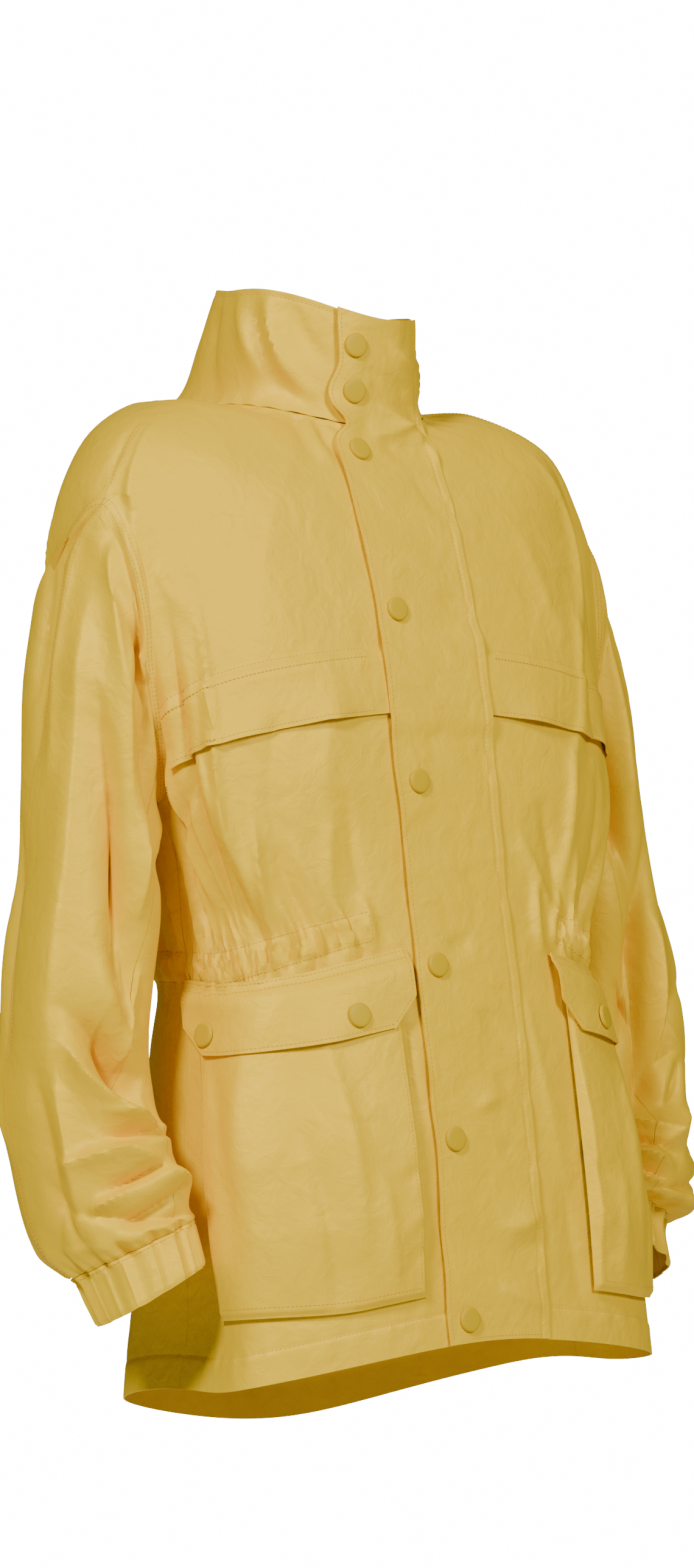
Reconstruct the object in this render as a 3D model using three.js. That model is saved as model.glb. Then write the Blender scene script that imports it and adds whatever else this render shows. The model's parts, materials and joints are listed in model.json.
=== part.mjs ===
// Windbreaker jacket in its worn shape, in millimetres, +Z up.
// The origin is on the neck axis at the height of the shoulder's high point by the neck. The front faces -Y
// and the wearer's left is +X. Every piece of cloth is a wall between an outer and an inner skin.
import * as THREE from 'three';

// Driving sizes
const CLOTH = 1.6; // thickness of a panel
const SEAM_GAP = 0.35; // clearance between two panels at a seam
const LAYER_GAP = 1.5; // air between a panel and what lies on it
const YOKE_FLAP = { front: 40, edge: 26 }; // levels from the yoke's stitch line down to its free edge
const CAP_RADIUS = 9; // painted snap cap
const CAP_HEIGHT = 2.4;
const CAP_ROUND = 1.2; // the cap is this much smaller at its top
const CLOTH_COLOUR = 0xe9c95c;
const CAP_COLOUR = 0xd9b92a;

// Rings round the body, from the collar's top to the hem. A ring is known by its level, which is its height
// at the centre front. Its other columns are its height at the side and the back, half its width, the Y of
// its front, side and back, how square it is (2 is an ellipse), and how far the arm presses its side in.
const RINGS = table(
  'level sideZ backZ halfWidth frontY sideY backY squareness armDent',
  [
    [58, 73, 85, 71, -72, -2, 68, 2.2, 0],
    [18, 34, 50, 76, -73, 4, 92, 2.2, 0],
    [-23, -5, 12, 85, -74, 10, 114, 2.3, 0],
    [-55, -4, 2, 141, -88, 0, 114, 2.2, 0],
    [-85, -30, -30, 200, -101, -19, 110, 2.2, 0],
    [-112, -76, -76, 229, -111, -19, 111, 2.2, 0],
    [-152, -132, -132, 232, -122, -20, 114, 2.5, 1],
    [-196, -188, -188, 222, -133, -20, 114, 3.0, 16],
    [-240, -246, -246, 214, -141, -30, 106, 3.3, 22],
    [-282, -298, -298, 208, -148, -42, 93, 3.5, 27],
    [-322, -350, -352, 196, -153, -60, 75, 3.3, 22],
    [-378, -418, -420, 172, -163, -80, 46, 2.8, 4],
    [-440, -478, -490, 180, -175, -86, 42, 2.9, 6],
    [-510, -545, -560, 190, -185, -90, 43, 3.0, 10],
    [-580, -612, -635, 200, -195, -95, 45, 3.0, 18],
    [-640, -672, -705, 205, -202, -100, 46, 3.0, 22],
    [-686, -718, -762, 208, -207, -102, 46, 3.0, 16],
  ],
);
const COLLAR_TOP = 58;
const NECK = -23;
const WAIST = -378;
const HEM = -686;
const DENT_BACK = 25; // the arm lies this far behind the body's widest point
const DENT_REACH = 75;
const FRONT_DROP = 2.5; // how late a ring leaves its side height on the way to the front or back
const COLLAR_TILT = 0.11; // the closed collar's top falls this much for each step to the wearer's left

// Armhole, as a loop in ring angle and level. It opens from the forward shoulder seam.
const ARMHOLE = { top: -112, bottom: -282, topAngle: 78, bottomAngle: 90, frontReach: 22, backReach: 28 };
const ARMHOLE_STEPS = 12; // steps down each half of the loop
const YOKE_STEP = 8; // the yoke's stitch line meets the armhole at this step
const YOKE_FRONT = -192; // level of the yoke's stitch line at the centre front
const YOKE_SLANT = 1.7; // how late the stitch line drops on its way to the armhole
const SEAM_BACK = 8; // the side seam runs this many degrees further back below the armhole
const ZIP = 18; // the closure lies this far to the wearer's left of the body's middle

// Rings round the sleeve, by the distance down the outer arm from the armhole seam. They give the outermost
// and innermost points, the centre and half size from front to back, and how much higher the front lies.
const SLEEVE_RINGS = table(
  'down outX outZ inX inZ centreY halfY frontRise squareness',
  [
    [60, 247, -130, 191, -320, -12, 65, 0, 2.3],
    [135, 261, -205, 194, -334, -18, 65, 0, 2.3],
    [216, 273, -285, 196, -356, -27, 64, 0, 2.3],
    [276, 282, -345, 196, -382, -33, 62, 0, 2.3],
    [358, 299, -425, 201, -430, -38, 60, 0, 2.3],
    [443, 307, -510, 205, -512, -49, 58, 0, 2.3],
    [509, 299, -577, 200, -568, -60, 65, 4, 2.3],
    [548, 292, -616, 198, -592, -73, 59, 10, 2.3],
    [571, 279, -630, 198, -601, -86, 44, 14, 2.2],
    [592, 275, -648, 199, -618, -96, 41, 14, 2.2],
    [611, 273, -664, 200, -632, -105, 38, 14, 2.2],
  ],
);
const CUFF_SEAM = 571;
const CUFF_END = 611;
const INNER_SEAM = 120; // the inner seam's turn where it leaves the armhole
const CAP_PUFF = 0.45; // how much the sleeve swells outwards where it leaves the top of the armhole
const LEFT_CUFF_BACK = 24; // the left cuff reaches this much less far forward

// Small helpers
function table(names, rows) {
  const columns = names.split(' ');
  return rows.map((row) => Object.fromEntries(columns.map((name, i) => [name, row[i]])));
}

const between = (a, b, f) => a + (b - a) * f;
const clamp = (x, low, high) => Math.min(high, Math.max(low, x));
const radians = THREE.MathUtils.degToRad;
const smooth = (x, from, to) => THREE.MathUtils.smoothstep((x - from) / (to - from), 0, 1);
const bell = (x) => Math.exp(-x * x);

function steps(from, to, count) {
  return Array.from({ length: count + 1 }, (_, i) => between(from, to, i / count));
}

// A smooth curve through every column of a table, read at one value of its first column.
function sample(rows, key, at) {
  const rising = rows[1][key] > rows[0][key] ? 1 : -1;
  let i = 0;
  while (i < rows.length - 2 && (at - rows[i + 1][key]) * rising > 0) i += 1;
  const [a, b] = [rows[i], rows[i + 1]];
  const before = rows[Math.max(i - 1, 0)];
  const after = rows[Math.min(i + 2, rows.length - 1)];
  const span = b[key] - a[key];
  const f = clamp((at - a[key]) / span, -0.3, 1.3);
  const result = {};
  for (const name of Object.keys(a)) {
    const slopeA = ((b[name] - before[name]) / (b[key] - before[key])) * span;
    const slopeB = ((after[name] - a[name]) / (after[key] - a[key])) * span;
    const rise = b[name] - a[name];
    result[name] =
      a[name] + f * (slopeA + f * (3 * rise - 2 * slopeA - slopeB + f * (slopeA + slopeB - 2 * rise)));
  }
  return result;
}

// Radius of a squared circle of size 1 in one direction.
function squareRadius(sine, cosine, squareness) {
  return (Math.abs(sine) ** squareness + Math.abs(cosine) ** squareness) ** (-1 / squareness);
}

// Body surface without folds: the ring angle is 0 at the centre front and positive to the wearer's left.
function bodyBase(angle, level) {
  const ring = sample(RINGS, 'level', level);
  const sine = Math.sin(radians(angle));
  const cosine = Math.cos(radians(angle));
  const radius = squareRadius(sine, cosine, ring.squareness);
  const depth = cosine > 0 ? ring.sideY - ring.frontY : ring.backY - ring.sideY;
  const y = ring.sideY - depth * cosine * radius;
  const dent = ring.armDent * bell(((y - ring.sideY - DENT_BACK) / DENT_REACH) ** 2) * Math.abs(sine);
  const x = (ring.halfWidth * radius - dent) * sine;
  const endZ = cosine > 0 ? level : ring.backZ;
  const z = between(ring.sideZ, endZ, Math.abs(cosine) ** FRONT_DROP);
  return new THREE.Vector3(x, y, z - COLLAR_TILT * x * smooth(level, NECK, COLLAR_TOP));
}

// Outward normal of a surface at two coordinates, from small steps along each.
function normalOf(surface, a, b, stepA, stepB) {
  const alongA = surface(a + stepA, b).sub(surface(a - stepA, b));
  const alongB = surface(a, b + stepB).sub(surface(a, b - stepB));
  return alongA.cross(alongB).normalize();
}

// Folds: a soft ridge (height above 0) or trough (below 0) along a straight line on a surface.
function foldHeight(folds, across, down, acrossScale) {
  let height = 0;
  for (const fold of folds) {
    const lineX = (fold.toAcross - fold.fromAcross) * acrossScale;
    const lineY = fold.toDown - fold.fromDown;
    const x = (across - fold.fromAcross) * acrossScale;
    const y = down - fold.fromDown;
    const length = Math.hypot(lineX, lineY);
    const along = clamp((x * lineX + y * lineY) / (length * length), 0, 1);
    const distance = Math.hypot(x - along * lineX, y - along * lineY);
    height += fold.height * bell(distance / fold.width) * (0.35 + 0.65 * Math.sin(Math.PI * along));
  }
  return height;
}

// Main folds of the body, in ring angle and level.
const BODY_FOLDS = table(
  'fromAcross fromDown toAcross toDown width height',
  [
    [-66, -120, -60, -235, 12, 5],
    [66, -120, 60, -235, 12, 5],
    [-57, -250, -50, -350, 10, 5],
    [57, -250, 50, -350, 10, 5],
    [-150, -60, -140, -260, 22, 4],
    [150, -60, 140, -260, 22, 4],
  ],
);
const BODY_SCALE = 3.4; // millimetres of cloth to one degree round the body

// Gathers of the drawn-in waist, each a small ridge across the channel.
function waistGathers(from, to, count, seed) {
  return steps(0, 1, count - 1).map((f, i) => {
    const angle = between(from, to, f);
    const uneven = Math.sin(seed + i * 2.4);
    return {
      fromAcross: angle - uneven,
      fromDown: WAIST + 24 + 6 * Math.sin(seed * 2 + i * 1.7),
      toAcross: angle + uneven,
      toDown: WAIST - 15 - 4 * Math.sin(seed * 3 + i * 2.9),
      width: 5,
      height: 3.6 + 0.9 * uneven,
    };
  });
}
BODY_FOLDS.push(...waistGathers(26, 90, 11, 1), ...waistGathers(-90, -26, 11, 4));
BODY_FOLDS.push(...waistGathers(105, 255, 20, 2));

function body(angle, level) {
  const wrapped = ((((angle + 180) % 360) + 360) % 360) - 180;
  const round = wrapped < -95 ? wrapped + 360 : wrapped;
  const height =
    foldHeight(BODY_FOLDS, wrapped, level, BODY_SCALE) +
    (round !== wrapped ? foldHeight(BODY_FOLDS, round, level, BODY_SCALE) : 0);
  const normal = normalOf(bodyBase, angle, level, 0.5, 1.5);
  return bodyBase(angle, level).addScaledVector(normal, height);
}

// Ring angle at a distance along the cloth from the centre front.
const ringLengths = new Map();
function angleAt(distance, level) {
  const key = Math.round(level);
  if (!ringLengths.has(key)) {
    const lengths = [0];
    let last = bodyBase(0, key);
    for (let angle = 2; angle <= 120; angle += 2) {
      const next = bodyBase(angle, key);
      lengths.push(lengths[lengths.length - 1] + next.distanceTo(last));
      last = next;
    }
    ringLengths.set(key, lengths);
  }
  const lengths = ringLengths.get(key);
  const size = Math.abs(distance);
  let i = 0;
  while (i < lengths.length - 2 && lengths[i + 1] < size) i += 1;
  return Math.sign(distance) * 2 * (i + (size - lengths[i]) / (lengths[i + 1] - lengths[i]));
}

// Armhole loop: turn is 0 at the top, 90 at the front, 180 under the arm and 270 at the back.
function armholeLevel(turn) {
  const middle = (ARMHOLE.top + ARMHOLE.bottom) / 2;
  return middle + (ARMHOLE.top - middle) * Math.cos(radians(turn));
}

function armholeAngle(turn) {
  const centre = between(ARMHOLE.bottomAngle, ARMHOLE.topAngle, (1 + Math.cos(radians(turn))) / 2);
  const sine = Math.sin(radians(turn));
  return centre - (sine > 0 ? ARMHOLE.frontReach : ARMHOLE.backReach) * sine;
}

// Wall of cloth over a grid of surface coordinates. Rows may hold different numbers of points.
function clothWall(name, surface, rows, options = {}) {
  const { thickness = CLOTH, closed = false, outward = 1, stepA = 0.5, stepB = 1 } = options;
  const points = [];
  const outer = rows.map((row) => row.map(([a, b]) => points.push(surface(a, b)) - 1));
  const inner = rows.map((row) =>
    row.map(([a, b]) => {
      const inward = normalOf(surface, a, b, stepA, stepB).multiplyScalar(-outward * thickness);
      return points.push(surface(a, b).add(inward)) - 1;
    }),
  );
  const faces = [];
  const strip = (top, bottom, flip) => {
    const face = (a, b, c) => faces.push(flip ? [a, c, b] : [a, b, c]);
    const [m, n] = [top.length - 1, bottom.length - 1];
    let [i, j] = [0, 0];
    while (i < m || j < n) {
      if (j === n || (i < m && (i + 1) * n <= (j + 1) * m)) {
        face(top[i], bottom[j], top[i + 1]);
        i += 1;
      } else {
        face(top[i], bottom[j], bottom[j + 1]);
        j += 1;
      }
    }
  };
  const round = (row) => (closed ? [...row, row[0]] : row);
  for (let r = 0; r + 1 < rows.length; r += 1) {
    strip(round(outer[r]), round(outer[r + 1]), false);
    strip(round(inner[r]), round(inner[r + 1]), true);
  }
  strip(round(inner[0]), round(outer[0]), false);
  strip(round(outer.at(-1)), round(inner.at(-1)), false);
  if (!closed) {
    strip(outer.map((row) => row[0]), inner.map((row) => row[0]), false);
    strip(inner.map((row) => row.at(-1)), outer.map((row) => row.at(-1)), false);
  }
  if (volumeOf(points, faces) < 0) faces.forEach((corners) => corners.reverse());
  return meshOf(name, points, faces, cloth);
}

function volumeOf(points, faces) {
  const cross = new THREE.Vector3();
  let volume = 0;
  for (const [a, b, c] of faces) volume += cross.crossVectors(points[b], points[c]).dot(points[a]) / 6;
  return volume;
}

function meshOf(name, points, faces, material) {
  const geometry = new THREE.BufferGeometry();
  const coordinates = points.flatMap((point) => point.toArray());
  geometry.setAttribute('position', new THREE.Float32BufferAttribute(coordinates, 3));
  geometry.setIndex(faces.flat());
  const mesh = new THREE.Mesh(geometry, material);
  mesh.name = name;
  return mesh;
}

const cloth = new THREE.MeshStandardMaterial({ color: CLOTH_COLOUR, roughness: 0.55, metalness: 0 });
const capPaint = new THREE.MeshStandardMaterial({ color: CAP_COLOUR, roughness: 0.35, metalness: 0 });

// Levels at which the panels' outer edges have their points, shared by every panel that meets there.
const ARMHOLE_TURNS = steps(0, 180, ARMHOLE_STEPS);
const SHOULDER_LEVELS = [NECK, -46, -66, -84, -99];
const WAIST_LEVELS = [-336, -348, -359, -369, WAIST, -387, -398, -412];
const SIDE_LEVELS = [-300, -322, ...WAIST_LEVELS, -440, -480, -530, -580, -630, -665, HEM];
const gapAngle = SEAM_GAP / 2 / BODY_SCALE;

// Front panels: each row runs from the centre front to the shoulder seam, armhole or side seam.
const yokeEdgeLevel = armholeLevel(ARMHOLE_TURNS[YOKE_STEP]);
const yokeEdgeAngle = armholeAngle(ARMHOLE_TURNS[YOKE_STEP]);
const slant = (angle) => clamp(Math.abs(angle) / yokeEdgeAngle, 0, 1) ** YOKE_SLANT;
const stitchLevel = (angle) => between(YOKE_FRONT, yokeEdgeLevel, slant(angle));
const sideSeam = (level) => ARMHOLE.bottomAngle + SEAM_BACK * smooth(level, ARMHOLE.bottom, WAIST);

function frontLevel(edgeLevel) {
  const atYoke = NECK + ((edgeLevel - NECK) * (YOKE_FRONT - NECK)) / (yokeEdgeLevel - NECK);
  return between(atYoke, edgeLevel, smooth(edgeLevel, yokeEdgeLevel, -350));
}

function panelRow(edgeLevel, edgeAngle, count, side) {
  const start = angleAt(ZIP + side * SEAM_GAP, frontLevel(edgeLevel));
  return steps(start, side * edgeAngle, count).map((angle) => {
    return [angle, between(frontLevel(edgeLevel), edgeLevel, slant(angle))];
  });
}

// The back's rows crowd at the armhole's top and bottom, and even out away from it.
function backRow(edgeLevel, evenLevel, edgeAngle, count) {
  return steps(edgeAngle, 360 - edgeAngle, count).map((angle) => {
    const inside = Math.min(angle - edgeAngle, 360 - edgeAngle - angle);
    return [angle, between(edgeLevel, evenLevel, smooth(inside, 0, BACK_EVEN))];
  });
}

const YOKE_COLUMNS = 11;
const FRONT_COLUMNS = 12;
const WAIST_COLUMNS = 32;
const BACK_COLUMNS = 20;
const BACK_WAIST_COLUMNS = 44;
const BACK_EVEN = 26; // degrees over which the back's rows even out
const WAIST_REACH = { above: 33, below: 27 }; // rows this near the waist's level have more columns
const nearWaist = (level) => level < WAIST + WAIST_REACH.above && level > WAIST - WAIST_REACH.below;

const FLAP_CLEAR = 3; // degrees that the storm flap stops short of the armhole
const YOKE_CLEAR = 0.8; // degrees that the lifted part of the yoke stays clear of the sleeve
const SEAM_DROP = 3.4; // the lower front starts this far below the stitch line
const flapDepth = (angle) => between(YOKE_FLAP.front, YOKE_FLAP.edge, slant(angle));
const FLAP_ROWS = [0.1, 0.5, 1]; // the storm flap's rows, as parts of its depth
const FLAP_FREE = 2.2; // how much further the flap's free edge stands off

function frontYoke(side) {
  const rows = SHOULDER_LEVELS.map((level) => [level, ARMHOLE.topAngle - gapAngle]);
  for (const turn of ARMHOLE_TURNS.slice(0, YOKE_STEP + 1)) {
    const clear = YOKE_CLEAR * smooth(turn, 40, 90);
    rows.push([armholeLevel(turn), armholeAngle(turn) - gapAngle - clear]);
  }
  const grid = rows.map(([level, angle]) => panelRow(level, angle, YOKE_COLUMNS, side));
  const flapStart = angleAt(ZIP + side * SEAM_GAP, YOKE_FRONT);
  for (const f of FLAP_ROWS) {
    const row = steps(flapStart, side * (yokeEdgeAngle - FLAP_CLEAR), YOKE_COLUMNS);
    grid.push(row.map((angle) => [angle, stitchLevel(angle) - f * flapDepth(angle)]));
  }
  const lifted = (angle, level) => {
    const drop = stitchLevel(angle) - level;
    const free = smooth(drop, 8, 36) * smooth(Math.abs(angle), 16, 26);
    const lift = (CLOTH + LAYER_GAP) * smooth(drop, -9, -1.5) + FLAP_FREE * free;
    return body(angle, level).addScaledVector(normalOf(body, angle, level, 0.5, 1), lift);
  };
  return clothWall(side < 0 ? 'front_yoke_right' : 'front_yoke_left', lifted, grid);
}

function frontLower(side) {
  const turns = ARMHOLE_TURNS.slice(YOKE_STEP);
  const rows = turns.map((turn) => [armholeLevel(turn), armholeAngle(turn) - gapAngle]);
  rows[0][0] -= SEAM_DROP;
  for (const level of SIDE_LEVELS) rows.push([level, sideSeam(level) - gapAngle]);
  const grid = rows.map(([level, angle]) => {
    return panelRow(level, angle, nearWaist(level) ? WAIST_COLUMNS : FRONT_COLUMNS, side);
  });
  return clothWall(side < 0 ? 'front_lower_right' : 'front_lower_left', body, grid);
}

function back() {
  const rows = SHOULDER_LEVELS.map((level) => [level, level, ARMHOLE.topAngle + gapAngle]);
  for (const turn of ARMHOLE_TURNS) {
    const even = between(ARMHOLE.top, ARMHOLE.bottom, turn / 180);
    rows.push([armholeLevel(turn), even, armholeAngle(360 - turn) + gapAngle]);
  }
  for (const level of SIDE_LEVELS) rows.push([level, level, sideSeam(level) + gapAngle]);
  const grid = rows.map(([level, even, angle]) => {
    return backRow(level, even, angle, nearWaist(level) ? BACK_WAIST_COLUMNS : BACK_COLUMNS);
  });
  return clothWall('back', body, grid);
}

const COLLAR_LEVELS = [NECK + 3 * SEAM_GAP, -13, -2, 18, COLLAR_TOP];
const COLLAR_COLUMNS = 26;
const COLLAR_OPENING = 1; // the collar's ends stop this far on each side of the closure
function collar() {
  const rows = COLLAR_LEVELS.map((level) => {
    const start = angleAt(ZIP + COLLAR_OPENING, level);
    const end = 360 + angleAt(ZIP - COLLAR_OPENING, level);
    return steps(start, end, COLLAR_COLUMNS).map((angle) => [angle, level]);
  });
  return clothWall('collar', body, rows);
}

// Placket: a storm flap over the centre front, sewn at its left edge and free at its right one. Its lifts
// are heights above the cloth below: at each edge, over the neck seam and over the yoke's flap.
const PLACKET = { free: -46, sewn: 50, freeLift: 2.8, sewnLift: 1.4, neckLift: 2.4, yokeLift: 4.4, curl: 5 };
// The free edge is cut narrower on the collar, and has a notch at the neck seam.
function placketEdge(level) {
  const onCollar = 12 * smooth(level, -28, 20);
  const notch = 16 * bell((level - NECK + 1) / 12) - 4 * bell((level - 4) / 12);
  return PLACKET.free + onCollar + notch;
}

function placketSurface(across, level) {
  const angle = angleAt(across, level);
  const normal = normalOf(body, angle, level, 0.5, 1);
  const curl = PLACKET.curl * bell((level - NECK - 1) / 16) * smooth(across, -12, PLACKET.free);
  const sewn = smooth(across, PLACKET.free, PLACKET.sewn);
  const flat = between(PLACKET.freeLift, PLACKET.sewnLift, sewn);
  const neck = Math.max(flat, between(flat, PLACKET.neckLift, bell((level - NECK) / 30)));
  const belowStitch = YOKE_FRONT - level;
  const overYoke = smooth(belowStitch, -26, -10) * smooth(belowStitch, 62, 46);
  const lift = CLOTH + between(neck, PLACKET.yokeLift, overYoke) + curl;
  return body(angle, level).addScaledVector(normal, lift);
}

function placket() {
  const levels = [...steps(COLLAR_TOP, -55, 12), ...steps(-55, HEM + 1, 22).slice(1)];
  const rows = levels.map((level) => steps(placketEdge(level), PLACKET.sewn, 5).map((x) => [x, level]));
  return clothWall('placket', placketSurface, rows, { stepA: 1 });
}

// Sleeve surface: the turn goes round the arm and down runs from the armhole seam to the cuff's end.
function sleeveRing(turn, down) {
  const ring = sample(SLEEVE_RINGS, 'down', down);
  const sine = Math.sin(radians(turn));
  const cosine = Math.cos(radians(turn));
  const radius = squareRadius(sine, cosine, ring.squareness);
  const outward = cosine * radius;
  const forward = sine * radius;
  return new THREE.Vector3(
    (ring.outX + ring.inX) / 2 + ((ring.outX - ring.inX) / 2) * outward,
    ring.centreY - ring.halfY * forward,
    (ring.outZ + ring.inZ) / 2 + ((ring.outZ - ring.inZ) / 2) * outward + ring.frontRise * forward,
  );
}

const SLEEVE_START = SLEEVE_RINGS[0].down;
function armholePoint(turn) {
  return body(armholeAngle(turn), armholeLevel(turn));
}

function sleeveBase(turn, down) {
  if (down >= SLEEVE_START) return sleeveRing(turn, down);
  const round = ((turn % 360) + 360) % 360;
  const start = armholePoint(round);
  const normal = normalOf(body, armholeAngle(round), armholeLevel(round), 0.5, 1);
  const rim = armholePoint(round + 1).sub(armholePoint(round - 1));
  const into = normal.clone().cross(rim).normalize();
  const topness = (1 + Math.cos(radians(turn))) / 2;
  const swell = between(1, CAP_PUFF, topness);
  const leave = into.multiplyScalar(topness).addScaledVector(normal, swell).normalize();
  leave.multiplyScalar(between(26, 58, topness));
  const end = sleeveRing(turn, SLEEVE_START);
  const arrive = sleeveRing(turn, SLEEVE_START + 4).sub(end).multiplyScalar(SLEEVE_START / 4);
  arrive.multiplyScalar(between(0.8, 1, topness));
  const f = clamp(down / SLEEVE_START, 0, 1);
  const rise = end.clone().sub(start);
  const cubic = leave.clone().add(arrive).addScaledVector(rise, -2).multiplyScalar(f);
  const square = rise.clone().multiplyScalar(3).addScaledVector(leave, -2).sub(arrive);
  return start.add(cubic.add(square).multiplyScalar(f).add(leave).multiplyScalar(f));
}

const SLEEVE_FOLDS = table(
  'fromAcross fromDown toAcross toDown width height',
  [
    [95, 60, 105, 230, 13, -7],
    [60, 30, 75, 200, 12, 4],
    [60, 250, 130, 420, 14, -6],
    [40, 380, 130, 470, 12, -8],
    [60, 470, 140, 520, 11, 6],
    [20, 520, 120, 550, 8, -4],
  ],
);
const SLEEVE_SCALE = 1.05;
// Gathers at the elastic cuff: how many go round, their height, and how far up the sleeve they reach
const GATHER = { count: 13, height: 2.2, reach: 26, onCuff: 0.6, uneven: 40 };

function sleeveSurface(turn, down) {
  const round = ((turn % 360) + 360) % 360;
  const folds = foldHeight(SLEEVE_FOLDS, round, down, SLEEVE_SCALE) * smooth(down, 0, 30);
  const phase = turn * GATHER.count + GATHER.uneven * Math.sin(radians(2 * turn));
  const gather = GATHER.height * bell((down - CUFF_SEAM) / GATHER.reach) * Math.sin(radians(phase));
  const onCuff = down > CUFF_SEAM ? GATHER.onCuff : 1;
  const normal = normalOf(sleeveBase, turn, down, 1, 1);
  return sleeveBase(turn, down).addScaledVector(normal, folds + gather * onCuff);
}

// The right sleeve is the left one mirrored, and its cuff reaches further forward.
function sleeveOf(side) {
  return (turn, down) => {
    const point = sleeveSurface(turn, down);
    if (side > 0) point.y += LEFT_CUFF_BACK * smooth(down, 530, 590);
    point.x *= side;
    return point;
  };
}

// The sleeve's two seams drift backwards on the way down.
const outerSeam = (down) => -28 * smooth(down, 120, 320);
const innerSeam = (down) => INNER_SEAM - 12 * smooth(down, 60, 300);
const CUFF_GAP = 0.8;
const CUFF_COLUMNS = 40;
const CUFF_ROWS = 3;
const GATHERED = 25; // the sleeve has twice the columns this near the cuff
const UPPER_ROWS = [1, 12, 32, 60, 95, 130, 165, 200, 235, 270];
const LOWER_ROWS = [302, 334, 366, 396, 425, 452, 480, 506, 530, 552];
const SLEEVE_ROWS = [...UPPER_ROWS, ...LOWER_ROWS, CUFF_SEAM - CUFF_GAP];

function sleevePart(name, side, front) {
  const seamStep = (INNER_SEAM * ARMHOLE_STEPS) / 180;
  const count = front ? seamStep : 2 * ARMHOLE_STEPS - seamStep;
  const rows = SLEEVE_ROWS.map((down) => {
    const from = front ? outerSeam(down) : innerSeam(down);
    const to = front ? innerSeam(down) : outerSeam(down) + 360;
    const gap = SEAM_GAP / SLEEVE_SCALE;
    const columns = down > CUFF_SEAM - GATHERED ? 2 * count : count;
    return steps(from + gap, to - gap, columns).map((turn) => [turn, down]);
  });
  const surface = sleeveOf(side);
  return clothWall(name, surface, rows, { outward: side, stepA: 1, stepB: 0.5 });
}

function cuff(name, side) {
  const rows = steps(CUFF_SEAM + CUFF_GAP, CUFF_END, CUFF_ROWS).map((down) => {
    return steps(0, 360, CUFF_COLUMNS).slice(0, -1).map((turn) => [turn, down]);
  });
  const surface = sleeveOf(side);
  return clothWall(name, surface, rows, { outward: side, closed: true, stepA: 1, stepB: 0.5 });
}

// Patch pocket with bellows sides: distances along the cloth from the centre front, and levels.
const POCKET = { front: 82, back: 250, top: -412, middle: -560, bottom: -648, lift: 12, rise: 12 };
const POCKET_COLUMNS = [0, 5, 22, 48, 78, 108, 140, 163, 168]; // distances from its front edge
const POCKET_EDGE = { lift: 5.5, width: 5 }; // height near its top and bottom, and the width of its sides
const FLAP = { front: 72, back: 258, top: -398, bottom: -454, chamfer: 20 };

function liftedBody(side, lift) {
  return (across, level) => {
    const raised = level + POCKET.rise * smooth(across, POCKET.front + 50, POCKET.back);
    const angle = angleAt(ZIP + side * across, raised);
    return body(angle, raised).addScaledVector(normalOf(body, angle, raised, 0.5, 1), lift(across, level));
  };
}

function pocketLift(across, level) {
  const low = LAYER_GAP + CLOTH + 1;
  const edge = Math.min(across - POCKET.front, POCKET.back - across);
  const rise = smooth(edge, 0, POCKET_EDGE.width) * smooth(level - POCKET.bottom, 0, POCKET_EDGE.width);
  const full = between(POCKET.lift, POCKET_EDGE.lift, smooth(Math.abs(level - POCKET.middle), 20, 110));
  return between(low, full, rise);
}

function pocket(side) {
  const across = POCKET_COLUMNS.map((x) => POCKET.front + x);
  const levels = steps(POCKET.top, POCKET.bottom + 20, 8);
  levels.push(POCKET.bottom + POCKET_EDGE.width, POCKET.bottom);
  const rows = levels.map((level) => across.map((x) => [x, level]));
  const surface = liftedBody(side, pocketLift);
  return clothWall(side < 0 ? 'pocket_right' : 'pocket_left', surface, rows, { outward: side, stepA: 1 });
}

function flapSurface(side) {
  return liftedBody(side, (across, level) => {
    const { width } = POCKET_EDGE;
    const inside = clamp(across, POCKET.front + width, POCKET.back - width);
    const overPocket = pocketLift(inside, Math.min(level, POCKET.top - 6));
    const sewn = LAYER_GAP + 1;
    return CLOTH + between(sewn, sewn + overPocket, smooth(level, FLAP.top, FLAP.top - 18));
  });
}

function pocketFlap(side) {
  const columns = steps(0, 1, 10);
  const levels = steps(FLAP.top, FLAP.bottom, 4);
  const rows = levels.map((level) => {
    const cut = Math.max(0, FLAP.bottom + FLAP.chamfer - level);
    return columns.map((f) => [between(FLAP.front + cut, FLAP.back - cut, f), level]);
  });
  const name = side < 0 ? 'pocket_flap_right' : 'pocket_flap_left';
  return clothWall(name, flapSurface(side), rows, { outward: side, stepA: 1 });
}

// Snap cap: a low domed disc that stands just off a surface point.
const CAP_STAND = 0.5;
const CAP_SIDES = 12;
function snapCap(name, surface, across, level, outward) {
  const profile = [
    [0, 0],
    [CAP_RADIUS, 0],
    [CAP_RADIUS - CAP_ROUND, CAP_HEIGHT],
    [0, CAP_HEIGHT],
  ].map(([radius, height]) => new THREE.Vector2(radius, height));
  const geometry = new THREE.LatheGeometry(profile, CAP_SIDES);
  const mesh = new THREE.Mesh(geometry, capPaint);
  const normal = normalOf(surface, across, level, 6, 6).multiplyScalar(outward);
  mesh.position.copy(surface(across, level)).addScaledVector(normal, CAP_STAND);
  mesh.quaternion.setFromUnitVectors(new THREE.Vector3(0, 1, 0), normal);
  mesh.name = name;
  return mesh;
}

// Snaps of the placket, by distance across it from the centre front and by level
const SNAPS = table(
  'across level',
  [
    [-21, 34],
    [-22, 2],
    [-27, -44],
    [-27, -159],
    [-27, -283],
    [-28, -415],
    [-28, -540],
    [-28, -669],
  ],
);
const FLAP_SNAPS = [50, 162]; // distances back from a pocket flap's front end
const FLAP_SNAP_RISE = 15; // level of the flap's snaps above its lower edge

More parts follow.
